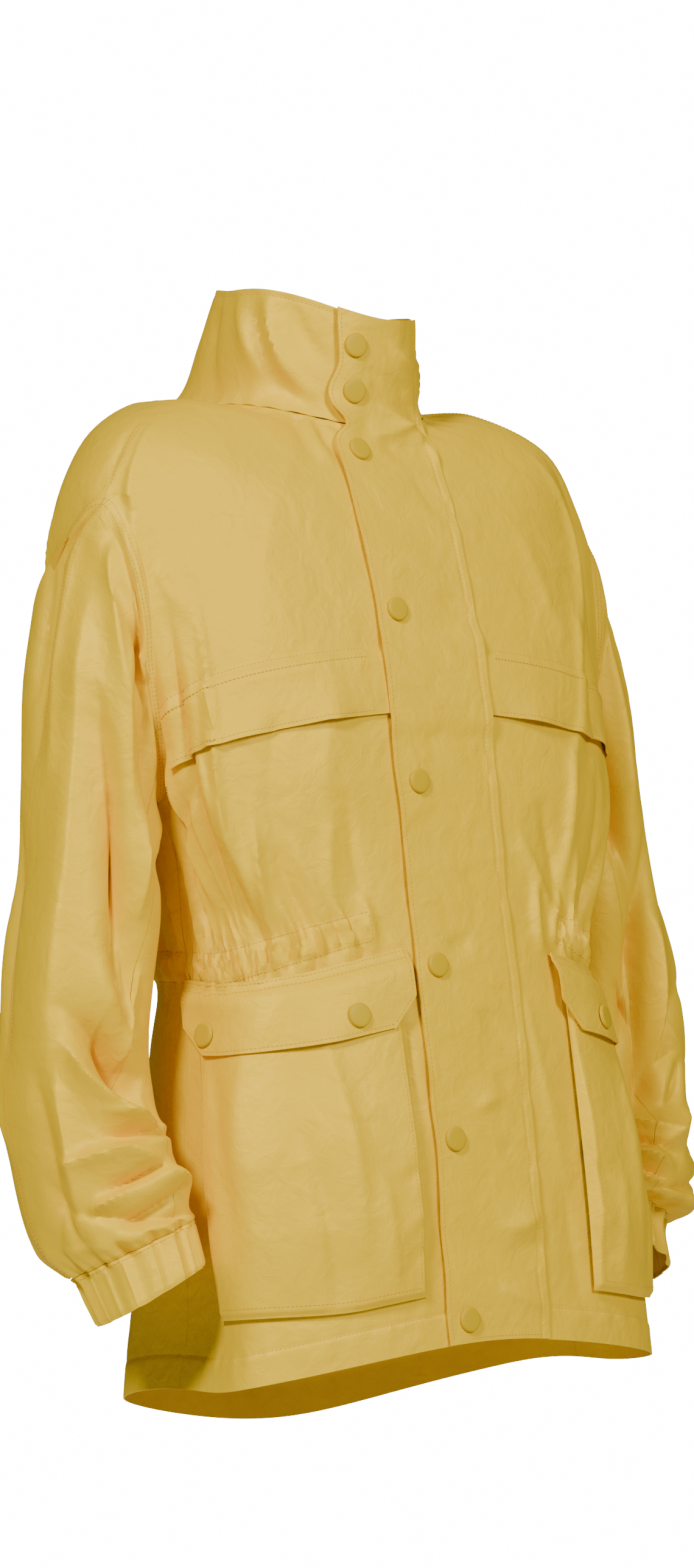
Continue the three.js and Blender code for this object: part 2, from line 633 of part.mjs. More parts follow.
const jacket = new THREE.Group();
for (const side of [-1, 1]) {
  const hand = side < 0 ? 'right' : 'left';
  jacket.add(frontYoke(side), frontLower(side), pocket(side), pocketFlap(side));
  jacket.add(sleevePart(`sleeve_front_${hand}`, side, true));
  jacket.add(sleevePart(`sleeve_back_${hand}`, side, false));
  jacket.add(cuff(`cuff_${hand}`, side));
  FLAP_SNAPS.forEach((distance, i) => {
    const name = `flap_snap_${hand}_${i + 1}`;
    const across = FLAP.front + distance;
    jacket.add(snapCap(name, flapSurface(side), across, FLAP.bottom + FLAP_SNAP_RISE, side));
  });
}
jacket.add(back(), collar(), placket());
SNAPS.forEach(({ across, level }, i) => {
  jacket.add(snapCap(`snap_${i + 1}`, placketSurface, across, level, 1));
});

export default jacket;
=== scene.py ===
"""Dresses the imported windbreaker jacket: cloth skins with folds, topstitching and painted snaps.

Lengths are in millimetres until a mesh is made. The front faces -Y and the wearer's left is +X.
Body cloth is placed by ring angle (0 at the centre front, positive to the wearer's left) and level
(height at the centre front). Sleeve cloth is placed by turn (0 outside, 90 front, 180 under the arm)
and distance down.
"""

import json
import math

import bpy
import numpy as np
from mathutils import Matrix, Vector

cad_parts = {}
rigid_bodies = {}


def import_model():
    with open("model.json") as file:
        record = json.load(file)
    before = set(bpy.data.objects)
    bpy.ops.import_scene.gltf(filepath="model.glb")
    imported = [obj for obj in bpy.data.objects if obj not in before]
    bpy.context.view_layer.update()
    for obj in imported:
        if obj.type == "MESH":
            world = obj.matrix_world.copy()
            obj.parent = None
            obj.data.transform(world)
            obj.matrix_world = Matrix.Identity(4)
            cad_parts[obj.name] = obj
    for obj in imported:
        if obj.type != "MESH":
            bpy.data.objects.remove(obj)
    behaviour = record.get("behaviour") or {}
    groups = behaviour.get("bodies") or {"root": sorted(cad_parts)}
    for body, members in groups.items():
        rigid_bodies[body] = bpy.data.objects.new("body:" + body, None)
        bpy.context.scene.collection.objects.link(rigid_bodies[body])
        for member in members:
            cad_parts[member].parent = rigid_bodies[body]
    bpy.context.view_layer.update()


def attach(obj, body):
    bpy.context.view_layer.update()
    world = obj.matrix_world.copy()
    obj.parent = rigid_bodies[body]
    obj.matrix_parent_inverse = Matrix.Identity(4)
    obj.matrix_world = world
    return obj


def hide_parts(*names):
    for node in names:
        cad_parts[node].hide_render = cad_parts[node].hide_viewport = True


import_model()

MM = 0.001
CLOTH = 1.2  # thickness of a cloth skin
SEAM_GAP = 0.15  # clearance on each side of a seam
LAYER_GAP = 1.5  # air between a panel and what lies on it
CLOSURE = 18  # the closure lies this far to the wearer's left of the body's middle


# Tables with named columns
def table(names, rows):
    columns = np.array(rows, float).T
    return dict(zip(names.split(), columns))


RINGS = table(
    "level side_z back_z half_width front_y side_y back_y squareness arm_dent",
    [
        (58, 73, 85, 71, -72, -2, 68, 2.2, 0),
        (18, 34, 50, 76, -73, 4, 92, 2.2, 0),
        (-23, -5, 12, 85, -74, 10, 114, 2.3, 0),
        (-55, -4, 2, 141, -88, 0, 114, 2.2, 0),
        (-85, -30, -30, 200, -101, -19, 110, 2.2, 0),
        (-112, -76, -76, 229, -111, -19, 111, 2.2, 0),
        (-152, -132, -132, 232, -122, -20, 114, 2.5, 1),
        (-196, -188, -188, 222, -133, -20, 114, 3.0, 16),
        (-240, -246, -246, 214, -141, -30, 106, 3.3, 22),
        (-282, -298, -298, 208, -148, -42, 93, 3.5, 27),
        (-322, -350, -352, 196, -153, -60, 75, 3.3, 22),
        (-378, -418, -420, 172, -163, -80, 46, 2.8, 4),
        (-440, -478, -490, 180, -175, -86, 42, 2.9, 6),
        (-510, -545, -560, 190, -185, -90, 43, 3.0, 10),
        (-580, -612, -635, 200, -195, -95, 45, 3.0, 18),
        (-640, -672, -705, 205, -202, -100, 46, 3.0, 22),
        (-686, -718, -762, 208, -207, -102, 46, 3.0, 16),
    ],
)
COLLAR_TOP, NECK, WAIST, HEM = 58, -23, -378, -686
DENT_BACK, DENT_REACH, FRONT_DROP, COLLAR_TILT = 25, 75, 2.5, 0.11

ARMHOLE = {
    "top": -112,
    "bottom": -282,
    "top_angle": 78,
    "bottom_angle": 90,
    "front_reach": 22,
    "back_reach": 28,
}
YOKE_TURN = 120  # the yoke's stitch line meets the armhole here
YOKE_FRONT, YOKE_SLANT, SEAM_BACK = -192, 1.7, 8
FLAP_DEPTH = {"front": 40, "edge": 26}

SLEEVE_RINGS = table(
    "down out_x out_z in_x in_z centre_y half_y front_rise squareness",
    [
        (60, 241, -130, 191, -320, -12, 65, 0, 2.3),
        (135, 259, -205, 194, -334, -18, 65, 0, 2.3),
        (216, 273, -285, 196, -356, -27, 64, 0, 2.3),
        (276, 282, -345, 196, -382, -33, 62, 0, 2.3),
        (358, 299, -425, 201, -430, -38, 60, 0, 2.3),
        (443, 307, -510, 205, -512, -49, 58, 0, 2.3),
        (509, 299, -577, 200, -568, -60, 65, 4, 2.3),
        (548, 292, -616, 198, -592, -73, 59, 10, 2.3),
        (571, 279, -630, 198, -601, -86, 44, 14, 2.2),
        (592, 275, -648, 199, -618, -96, 41, 14, 2.2),
        (611, 273, -664, 200, -632, -105, 38, 14, 2.2),
    ],
)
CUFF_SEAM, CUFF_END, INNER_SEAM = 571, 611, 120
CAP_PUFF, LEFT_CUFF_BACK = 0.25, 24


# Small helpers
def between(a, b, f):
    return a + (b - a) * f


def smooth(x, start, end):
    t = np.clip((x - start) / (end - start), 0, 1)
    return t * t * (3 - 2 * t)


def bell(x):
    return np.exp(-x * x)


def unit(v):
    return v / np.maximum(np.linalg.norm(v, axis=-1, keepdims=True), 1e-9)


def sample(rows, at):
    """A smooth curve through every column of a table, read at values of its first column."""
    names = list(rows)
    key = rows[names[0]]
    rising = 1 if key[1] > key[0] else -1
    at = np.asarray(at, float)
    i = np.clip(np.searchsorted(rising * key, rising * at, side="left") - 1, 0, len(key) - 2)
    before, after = np.maximum(i - 1, 0), np.minimum(i + 2, len(key) - 1)
    span = key[i + 1] - key[i]
    f = np.clip((at - key[i]) / span, -0.3, 1.3)
    found = {}
    for name in names[1:]:
        c = rows[name]
        slope_a = (c[i + 1] - c[before]) / (key[i + 1] - key[before]) * span
        slope_b = (c[after] - c[i]) / (key[after] - key[i]) * span
        rise = c[i + 1] - c[i]
        curve = 3 * rise - 2 * slope_a - slope_b + f * (slope_a + slope_b - 2 * rise)
        found[name] = c[i] + f * (slope_a + f * curve)
    return found


def square_radius(sine, cosine, squareness):
    return (np.abs(sine) ** squareness + np.abs(cosine) ** squareness) ** (-1 / squareness)


def normal_of(surface, a, b, step_a=0.5, step_b=1.0):
    """Unit normals of a surface from small steps along its two coordinates."""
    along_a = surface(a + step_a, b) - surface(a - step_a, b)
    along_b = surface(a, b + step_b) - surface(a, b - step_b)
    return unit(np.cross(along_a, along_b))


# Body surface
def body_base(angle, level):
    ring = sample(RINGS, level)
    sine, cosine = np.sin(np.radians(angle)), np.cos(np.radians(angle))
    radius = square_radius(sine, cosine, ring["squareness"])
    depth = np.where(cosine > 0, ring["side_y"] - ring["front_y"], ring["back_y"] - ring["side_y"])
    y = ring["side_y"] - depth * cosine * radius
    dent = ring["arm_dent"] * bell(((y - ring["side_y"] - DENT_BACK) / DENT_REACH) ** 2) * np.abs(sine)
    x = (ring["half_width"] * radius - dent) * sine
    end_z = np.where(cosine > 0, level, ring["back_z"])
    z = between(ring["side_z"], end_z, np.abs(cosine) ** FRONT_DROP)
    return np.stack([x, y, z - COLLAR_TILT * x * smooth(level, NECK, COLLAR_TOP)], -1)


BODY_SCALE = 3.4  # millimetres of cloth to one degree round the body
SLEEVE_SCALE = 1.05
FOLD_DEPTH = 2.1
CRISP = 1.35  # 2 is a soft bell across a fold and 1 is a sharp crease
STEEP_SIDE, EASY_SIDE = 0.7, 1.45  # shares of a fold's width on its two sides
NARROWEST = 4.2  # no side of a crease is narrower than this
FOLD_COLUMNS = "x0 y0 x1 y1 bend width height"


def fold_height(folds, x, y, scale, crease=True):
    """Ridges (height above 0) and troughs (below 0), each along a line that may bend to one side.

    Creases of the cloth skins are deep and steeper on one side. The solids' own folds are plain soft bells.
    """
    depth, crisp = (FOLD_DEPTH, CRISP) if crease else (1.0, 2.0)
    steep, easy = (STEEP_SIDE, EASY_SIDE) if crease else (1.0, 1.0)
    height = np.zeros(np.broadcast(x, y).shape)
    for x0, y0, x1, y1, bend, width, rise in zip(*folds.values()):
        line_x, line_y = (x1 - x0) * scale, y1 - y0
        length = math.hypot(line_x, line_y)
        px, py = (x - x0) * scale, y - y0
        along = (px * line_x + py * line_y) / length
        side = (px * line_y - py * line_x) / length
        near = (np.abs(side) < 6 * width + abs(bend)) & (along > -3 * width) & (along < length + 3 * width)
        if not near.any():
            continue
        t = np.clip(along[near] / length, 0, 1)
        off = side[near] - bend * 4 * t * (1 - t)
        past = along[near] - t * length
        spread = width * (0.75 + 0.5 * t) * np.where(off * rise > 0, steep, easy)
        spread = np.maximum(spread, NARROWEST)
        shape = np.exp(-(np.abs(off / spread) ** crisp)) * np.exp(-((past / width) ** 2))
        height[near] += depth * rise * shape * (0.3 + 0.7 * np.sin(np.pi * t) ** 0.7)
    return height


def wrapped(angle):
    return (angle + 180) % 360 - 180


# Main folds of the body, in ring angle and level. The first six are the solids' own.
BODY_FOLDS = table(
    FOLD_COLUMNS,
    [
        (-66, -120, -60, -235, 0, 12, 5),
        (66, -120, 60, -235, 0, 12, 5),
        (-57, -250, -50, -350, 0, 10, 5),
        (57, -250, 50, -350, 0, 10, 5),
        (210, -60, 220, -260, 0, 22, 4),
        (150, -60, 140, -260, 0, 22, 4),
    ],
)


def waist_gathers(start, end, count, seed):
    rows = []
    for i in range(count):
        angle = between(start, end, i / (count - 1))
        uneven = math.sin(seed + i * 2.4)
        top = WAIST + 24 + 6 * math.sin(seed * 2 + i * 1.7)
        low = WAIST - 15 - 4 * math.sin(seed * 3 + i * 2.9)
        rows.append((angle - uneven, top, angle + uneven, low, 0, 5, 3.6 + 0.9 * uneven))
    return rows


GATHERS = table(
    FOLD_COLUMNS,
    waist_gathers(26, 90, 11, 1) + waist_gathers(-90, -26, 11, 4) + waist_gathers(105, 255, 20, 2),
)


def body_height(angle, level):
    turned = angle % 360
    front = wrapped(angle)
    height = fold_height(BODY_FOLDS, front, level, BODY_SCALE, False)
    height = height + fold_height(GATHERS, front, level, BODY_SCALE, False)
    behind = fold_height(BODY_FOLDS, turned, level, BODY_SCALE, False)
    behind = behind + fold_height(GATHERS, turned, level, BODY_SCALE, False)
    return height + np.where(front < -95, behind, 0)


def body(angle, level):
    angle, level = np.broadcast_arrays(np.asarray(angle, float), np.asarray(level, float))
    normal = normal_of(body_base, angle, level, 0.5, 1.5)
    return body_base(angle, level) + normal * body_height(angle, level)[..., None]


# Ring angle at a distance along the cloth from the body's middle
LENGTH_LEVELS = np.arange(HEM - 10, COLLAR_TOP + 10, 4.0)
LENGTH_STEPS = np.arange(0, 360, 2.0)


def measured_angles():
    angles = np.arange(0, 121, 2.0)
    points = body_base(angles[None, :], LENGTH_LEVELS[:, None])
    steps = np.linalg.norm(np.diff(points, axis=1), axis=-1)
    lengths = np.concatenate([np.zeros((len(points), 1)), np.cumsum(steps, 1)], 1)
    return np.array([np.interp(LENGTH_STEPS, row, angles) for row in lengths])


ANGLES = measured_angles()


def angle_at(distance, level):
    distance, level = np.broadcast_arrays(np.asarray(distance, float), np.asarray(level, float))
    row = np.clip((level - LENGTH_LEVELS[0]) / 4.0, 0, len(LENGTH_LEVELS) - 1.001)
    column = np.clip(np.abs(distance) / 2.0, 0, len(LENGTH_STEPS) - 1.001)
    r, c = row.astype(int), column.astype(int)
    f, g = row - r, column - c
    low = between(ANGLES[r, c], ANGLES[r, c + 1], g)
    high = between(ANGLES[r + 1, c], ANGLES[r + 1, c + 1], g)
    return np.sign(distance) * between(low, high, f)


# Armhole and the panels' edges
def armhole_level(turn):
    middle = (ARMHOLE["top"] + ARMHOLE["bottom"]) / 2
    return middle + (ARMHOLE["top"] - middle) * np.cos(np.radians(turn))


def armhole_angle(turn):
    sine, cosine = np.sin(np.radians(turn)), np.cos(np.radians(turn))
    centre = between(ARMHOLE["bottom_angle"], ARMHOLE["top_angle"], (1 + cosine) / 2)
    return centre - np.where(sine > 0, ARMHOLE["front_reach"], ARMHOLE["back_reach"]) * sine


YOKE_EDGE_LEVEL = float(armhole_level(YOKE_TURN))
YOKE_EDGE_ANGLE = float(armhole_angle(YOKE_TURN))


def slant(angle):
    return np.clip(np.abs(angle) / YOKE_EDGE_ANGLE, 0, 1) ** YOKE_SLANT


def stitch_level(angle):
    return between(YOKE_FRONT, YOKE_EDGE_LEVEL, slant(angle))


def side_seam(level):
    return ARMHOLE["bottom_angle"] + SEAM_BACK * smooth(level, ARMHOLE["bottom"], WAIST)


def front_level(edge_level):
    at_yoke = NECK + (edge_level - NECK) * (YOKE_FRONT - NECK) / (YOKE_EDGE_LEVEL - NECK)
    return between(at_yoke, edge_level, smooth(edge_level, YOKE_EDGE_LEVEL, -350))


GAP_ANGLE = SEAM_GAP / BODY_SCALE


def front_grid(edge_level, edge_angle, columns, side):
    start = angle_at(CLOSURE + side * SEAM_GAP, front_level(edge_level))
    f = np.linspace(0, 1, columns)[None, :]
    angle = between(start[:, None], side * edge_angle[:, None], f)
    level = between(front_level(edge_level)[:, None], edge_level[:, None], slant(angle))
    return angle, level


# Meshes
SHARP = math.radians(50)  # edges that turn by more than this look sharp


def skin_faces(rows, columns, closed):
    index = np.arange(rows * columns).reshape(rows, columns)
    if closed:
        index = np.concatenate([index, index[:, :1]], 1)
    quads = np.stack([index[:-1, :-1], index[1:, :-1], index[1:, 1:], index[:-1, 1:]], -1).reshape(-1, 4)
    return index, quads


def linked(name, data):
    """A new object of the scene that holds a mesh, lamp or camera."""
    piece = bpy.data.objects.new(name, data)
    bpy.context.scene.collection.objects.link(piece)
    return piece


def make_mesh(name, points, faces, materials, face_material=None, uv=None):
    mesh = bpy.data.meshes.new(name)
    mesh.from_pydata((points * MM).tolist(), [], faces)
    mesh.polygons.foreach_set("use_smooth", np.ones(len(faces), bool))
    if face_material is not None:
        mesh.polygons.foreach_set("material_index", face_material)
    if uv is not None:
        layer = mesh.uv_layers.new(name="cloth")
        loops = np.empty(len(mesh.loops), int)
        mesh.loops.foreach_get("vertex_index", loops)
        layer.data.foreach_set("uv", (uv[loops] * MM).ravel())
    for material in materials:
        mesh.materials.append(material)
    mesh.validate()
    mesh.set_sharp_from_angle(angle=SHARP)
    return linked(name, mesh)


def cloth_shell(name, outer, base_normal, closed=False, thickness=CLOTH):
    """A thin closed shell on a grid of outer points. Distances along the cloth become its UV map."""
    rows, columns = outer.shape[:2]
    along_column = np.gradient(outer, axis=1)
    if closed:
        along_column[:, 0] = (outer[:, 1] - outer[:, -1]) / 2
        along_column[:, -1] = (outer[:, 0] - outer[:, -2]) / 2
    normal = unit(np.cross(along_column, np.gradient(outer, axis=0)))
    flip = np.sign((normal * base_normal).sum(-1).sum())
    normal = normal * flip
    inner = outer - normal * thickness
    count = rows * columns
    points = np.concatenate([outer.reshape(-1, 3), inner.reshape(-1, 3)])
    index, quads = skin_faces(rows, columns, closed)
    rims = [(index[0], 1), (index[-1], -1)]
    if not closed:
        rims += [(index[:, 0], -1), (index[:, -1], 1)]
    rim_quads = []
    for line, way in rims:
        quad = np.stack([line[:-1], line[1:], line[1:] + count, line[:-1] + count], -1)
        rim_quads.append(quad[:, ::way])
    faces = np.concatenate([quads, quads[:, ::-1] + count, *rim_quads])
    if flip > 0:
        faces = faces[:, ::-1]
    steps_across = np.linalg.norm(np.diff(outer, axis=1), axis=-1)
    steps_down = np.linalg.norm(np.diff(outer, axis=0), axis=-1)
    across = np.concatenate([np.zeros((rows, 1)), np.cumsum(steps_across, 1)], 1)
    down = np.concatenate([np.zeros((1, columns)), np.cumsum(steps_down, 0)])
    uv = np.stack([across, down], -1).reshape(-1, 2)
    # Inner faces take the shaded copy of the cloth colour: painted shade.
    inside = np.zeros(len(faces), int)
    inside[len(quads) : 2 * len(quads)] = 1
    paints = [cloth_paint, inside_shade_paint]
    return make_mesh(name, points, faces.tolist(), paints, inside, np.concatenate([uv, uv]))


BESIDE_RIM = (-3.4, -2.0, -1.0, 0.0, 1.0, 2.0, 3.4)


def spaced(length, step, rims=(0.0, 1.0)):
    """Fractions from 0 to 1 about one step apart, with close lines beside each place in rims."""
    marks = set(np.linspace(0, 1, max(int(length / step), 2) + 1).round(5))
    for rim in rims:
        marks |= {round(rim + beside / length, 5) for beside in BESIDE_RIM}
    kept = sorted(m for m in marks if 0 <= m <= 1)
    last = len(kept) - 1
    return np.array([m for i, m in enumerate(kept) if i in (0, last) or m - kept[i - 1] > 0.5 / length])


# Creases that only the cloth skins carry, in ring angle and level
def fan_folds(start, end, count, seed, reach):
    """Soft folds that fan out above and below the drawn-in waist, no two alike."""
    rows = []
    for i in range(count):
        angle = between(start, end, (i + 0.35 * math.sin(seed + 3.1 * i)) / (count - 1))
        lean = 4 * math.sin(seed + 1.9 * i)
        rise = (1.7 + 0.8 * math.sin(2 * seed + 2.3 * i)) * (1 if i % 2 else -1)
        top = WAIST + reach * (0.75 + 0.35 * math.sin(seed + 2.7 * i))
        rows.append((angle + lean, top, angle, WAIST + 8, 3 * math.sin(seed + i), 6, rise))
        low = WAIST - 26 - 16 * math.sin(seed + 1.3 * i) ** 2
        rows.append((angle, WAIST - 8, angle - 0.4 * lean, low, 0, 5, rise * 0.7))
    return rows


NECK_WRINKLES = [
    (-44 + 5 * i, -26, -25 + 4.5 * i, -62 + 3 * i, 0, 2.6, 1.1 if i % 2 else -1.1) for i in range(6)
]
FRONT_CREASES = table(
    FOLD_COLUMNS,
    NECK_WRINKLES
    + fan_folds(-94, -28, 11, 0.7, 90)
    + fan_folds(30, 94, 10, 2.1, 100)
    + [
        (-73, -86, -52, -172, 6, 8, 2.6),
        (-80, -92, -60, -180, 6, 9, -4.5),
        (-49, -170, -55, -358, -4, 5, 3.4),
        (-57, -178, -61, -352, -4, 8, -6.5),
        (-68, -240, -70, -335, 3, 6, 4.0),
        (-76, -235, -79, -345, 4, 7, -5.0),
        (-62, -279, -83, -347, 6, 5, -4.0),
        (-45, -305, -51, -354, 0, 4, 2.8),
        (-52, -310, -56, -352, 0, 4, -3.2),
        (-31, -95, -37, -190, 0, 15, 1.2),
        (-24, -215, -30, -300, 0, 14, 1.2),
        (-36, -235, -40, -330, 4, 9, -1.4),
        (-28, -300, -34, -356, 0, 5, 1.2),
        (54, -90, 41, -190, -4, 10, 2.2),
        (62, -94, 49, -190, -4, 14, -2.4),
        (42, -168, 35, -264, -4, 6, 1.8),
        (46, -180, 41, -268, -4, 9, -2.4),
        (35, -258, 33, -340, 0, 5, 2.8),
        (20, -322, 33, -368, 3, 4, 1.8),
        (26, -300, 36, -362, 3, 5, -1.8),
        (37, -325, 39, -367, 0, 4, 1.8),
        (52, -310, 44, -372, 0, 5, -3.4),
        (62, -260, 54, -345, 3, 7, 2.2),
        (30, -110, 37, -185, 4, 13, 1.2),
        (18, -440, 22, -560, 0, 8, 1.0),
        (-19, -420, -17, -520, 2, 6, -1.6),
        (-20, -560, -18, -655, -2, 7, 1.4),
        (22, -580, 24, -660, 0, 8, -1.2),
        (-74, -430, -79, -600, 0, 12, -2.0),
        (75, -430, 80, -590, 0, 12, -2.0),
    ],
)
BACK_CREASES = table(
    FOLD_COLUMNS,
    fan_folds(102, 258, 20, 4.4, 110)
    + [
        (112, -140, 128, -300, 12, 10, 3.0),
        (105, -150, 116, -290, 8, 8, -4.0),
        (248, -130, 230, -310, -12, 10, 3.0),
        (255, -150, 243, -280, -8, 8, -4.0),
        (150, -60, 172, -150, 6, 12, -2.2),
        (212, -55, 190, -160, -8, 12, 2.0),
        (165, -180, 160, -330, 5, 16, 2.4),
        (200, -200, 207, -340, -4, 14, -2.4),
        (140, -430, 132, -640, 8, 18, -3.0),
        (178, -420, 184, -660, -6, 16, 2.6),
        (222, -440, 230, -630, -6, 17, -2.6),
    ],
)


CHANNEL_START = {-1: 24, 1: 30}  # ring angle where the channel ends beside the placket


def channel_height(angle, level):
    """The drawn-in waist: a raised channel between two stitched lines, with small pleats through both."""
    raised = 1.4 * np.sqrt(np.clip(1 - ((level - WAIST) / 10) ** 2, 0, 1))
    near = bell((level - WAIST) / 14)
    leaning = angle + 0.09 * (level - WAIST) * np.sin(np.radians(angle * 9 + 20))
    large = np.abs(np.sin(np.radians(leaning * 47 + 50 * np.sin(np.radians(angle * 8)))))
    small = np.abs(np.sin(np.radians(leaning * 83 + 60 * np.sin(np.radians(angle * 12 + 60)) - level * 3)))
    pleat = 4.4 * (0.6 - large**0.7) + 2.4 * (0.6 - small**0.8)
    start = np.where(angle > 0, CHANNEL_START[1], CHANNEL_START[-1])
    reach = smooth(np.abs(angle), start, start + 6)
    return (raised + near * pleat) * reach


def hem_height(angle, level):
    above = level - HEM
    fold = 0.7 * smooth(above, 24.5, 22) - 0.5 * bell((above - 23) / 1.4)
    pucker = 0.35 * np.sin(np.radians(angle * 53 + 40 * np.sin(np.radians(angle * 9))))
    return fold + pucker * bell((above - 21) / 7)


def neck_height(angle, level):
    """Small gathers of the body cloth where the collar is sewn on."""
    below = NECK - level
    pucker = np.sin(np.radians(angle * 29 + 60 * np.sin(np.radians(angle * 5)))) * 0.7
    pucker += np.sin(np.radians(angle * 47 + 30)) * 0.35
    return np.where(below > 0, pucker * bell((below - 4) / 16) - 0.5 * bell((below - 6) / 1.5), 0)


def clear_of_armhole(angle, level):
    """1 on the body, easing to 0 at the armhole seam, so that body and sleeve still meet there."""
    middle, half = (ARMHOLE["top"] + ARMHOLE["bottom"]) / 2, (ARMHOLE["top"] - ARMHOLE["bottom"]) / 2
    turn = np.degrees(np.arccos(np.clip((level - middle) / half, -1, 1)))
    beside = np.maximum(armhole_angle(turn) - np.abs(angle), np.abs(angle) - armhole_angle(-turn))
    past = (np.abs(level - middle) - half) / BODY_SCALE
    return smooth(np.maximum(beside, past), 0.3, 9)


def cloth_body(angle, level):
    """The body surface that the cloth skins lie on."""
    angle, level = np.broadcast_arrays(np.asarray(angle, float), np.asarray(level, float))
    normal = normal_of(body_base, angle, level, 0.5, 1.5)
    front = wrapped(angle)
    creases = fold_height(FRONT_CREASES, front, level, BODY_SCALE)
    creases = creases + fold_height(BACK_CREASES, angle % 360, level, BODY_SCALE)
    height = body_height(angle, level) + creases * clear_of_armhole(front, level)
    height = height + channel_height(front, level) + hem_height(front, level) + neck_height(front, level)
    return body_base(angle, level) + normal * height[..., None]


def lifted(surface, a, b, lift, outward=1, step_a=0.5):
    normal = normal_of(surface, a, b, step_a, 1) * outward
    return surface(a, b) + normal * np.broadcast_to(lift, normal.shape[:-1])[..., None], normal


# Front yoke with its loose storm flap
def edge_line(step):
    """Levels and angles of the yoke's outer edge, from the neck along the shoulder and down the armhole."""
    shoulder = np.arange(NECK, ARMHOLE["top"], -step)
    turns = np.arange(0, YOKE_TURN + 0.1, step * 0.62)
    levels = np.concatenate([shoulder, armhole_level(turns)])
    angles = np.concatenate([np.full(len(shoulder), float(ARMHOLE["top_angle"])), armhole_angle(turns)])
    return levels, angles - GAP_ANGLE


def flap_depth(angle):
    return between(FLAP_DEPTH["front"], FLAP_DEPTH["edge"], slant(angle))


def yoke_surface(angle, level):
    drop = stitch_level(angle) - level
    free = smooth(drop, 8, 36) * smooth(np.abs(angle), 16, 26)
    wave = 1 + 0.8 * np.sin(np.radians(np.abs(angle) * 17 + 40)) * smooth(drop, 12, 36)
    lift = (CLOTH + LAYER_GAP) * smooth(drop, -9, -1.5) + 2.2 * free * wave - 0.5 * bell((drop + 1) / 1.2)
    return lifted(cloth_body, angle, level, lift)[0]


def yoke_grid(side, step=3.0):
    columns = spaced(250, step)
    levels, angles = edge_line(step)
    keep = levels > YOKE_EDGE_LEVEL + 1.5
    angle, level = front_grid(levels[keep], angles[keep], 2, side)
    angle = between(angle[:, :1], angle[:, 1:], columns[None, :])
    level = between(front_level(levels[keep])[:, None], levels[keep][:, None], slant(angle))
    flap_start = angle_at(CLOSURE + side * SEAM_GAP, YOKE_FRONT)
    drops = np.concatenate([[-1.0, 0.4, 2.0], np.linspace(4, 36, 9), [37.5, 38.8, 40.0]])
    flap_angle = between(flap_start, side * (YOKE_EDGE_ANGLE - 1.8), columns)[None, :].repeat(len(drops), 0)
    flap_level = stitch_level(flap_angle) - (drops / 40)[:, None] * flap_depth(flap_angle)
    return np.concatenate([angle, flap_angle]), np.concatenate([level, flap_level])


def side_of(side):
    return "right" if side < 0 else "left"


def body_shell(name, surface, angle, level, **options):
    normal = normal_of(body_base, angle, level, 0.5, 1.5)
    return cloth_shell(name, surface(angle, level), normal, **options)


def front_yoke(side):
    angle, level = yoke_grid(side)
    return body_shell(f"yoke_cloth_{side_of(side)}", yoke_surface, angle, level)


# Lower fronts and back
SEAM_DROP = 3.4
SIDE_ROWS = np.unique(
    np.concatenate(
        [
            np.arange(-286, -350, -4.0),
            np.arange(-350, -406, -2.0),
            np.arange(-406, HEM + 34, -4.5),
            HEM + np.array([30, 27, 25.2, 24, 23, 22, 20.8, 18, 14, 9, 4, 2, 0.8, 0]),
        ]
    )
)[::-1]


def front_lower(side):
    turns = np.arange(YOKE_TURN, 180.1, 2.2)
    levels = np.concatenate([armhole_level(turns), SIDE_ROWS])
    angles = np.concatenate([armhole_angle(turns), side_seam(SIDE_ROWS)]) - GAP_ANGLE
    levels[0] -= SEAM_DROP
    angle, level = front_grid(levels, angles, 2, side)
    columns = spaced(310, 2.3)
    angle = between(angle[:, :1], angle[:, 1:], columns[None, :])
    level = between(front_level(levels)[:, None], levels[:, None], slant(angle))
    return body_shell(f"front_cloth_{side_of(side)}", cloth_body, angle, level)


BACK_EVEN = 26


def back_grid():
    turns = np.arange(0, 180.1, 2.6)
    shoulder = np.arange(NECK, ARMHOLE["top"], -4.0)
    edge = np.concatenate([shoulder, armhole_level(turns), SIDE_ROWS])
    even = np.concatenate([shoulder, between(ARMHOLE["top"], ARMHOLE["bottom"], turns / 180), SIDE_ROWS])
    at_shoulder = np.full(len(shoulder), float(ARMHOLE["top_angle"]))
    angles = np.concatenate([at_shoulder, armhole_angle(360 - turns), side_seam(SIDE_ROWS)])
    start = (angles + GAP_ANGLE)[:, None]
    angle = between(start, 360 - start, spaced(560, 4.2)[None, :])
    inside = np.minimum(angle - start, 360 - start - angle)
    return angle, between(edge[:, None], even[:, None], smooth(inside, 0, BACK_EVEN))


def back():
    angle, level = back_grid()
    return body_shell("back_cloth", cloth_body, angle, level)


# Collar and placket
COLLAR_CREASES = table(
    FOLD_COLUMNS,
    [
        (-68, 50, -38, -8, 8, 5, 3.1),
        (-76, 44, -46, -10, 8, 5, -2.9),
        (-92, 52, -60, 0, 6, 8, 2.6),
        (-112, 50, -96, -12, 6, 8, -2.6),
        (-52, 52, -30, 18, 4, 5, -2.1),
        (66, 50, 46, -6, -6, 7, 2.6),
        (84, 50, 66, -8, -6, 8, -2.3),
        (140, 48, 128, -10, 6, 12, 2.9),
        (190, 52, 200, -8, 6, 14, -2.6),
        (236, 50, 226, -8, -6, 12, 2.9),
    ],
)


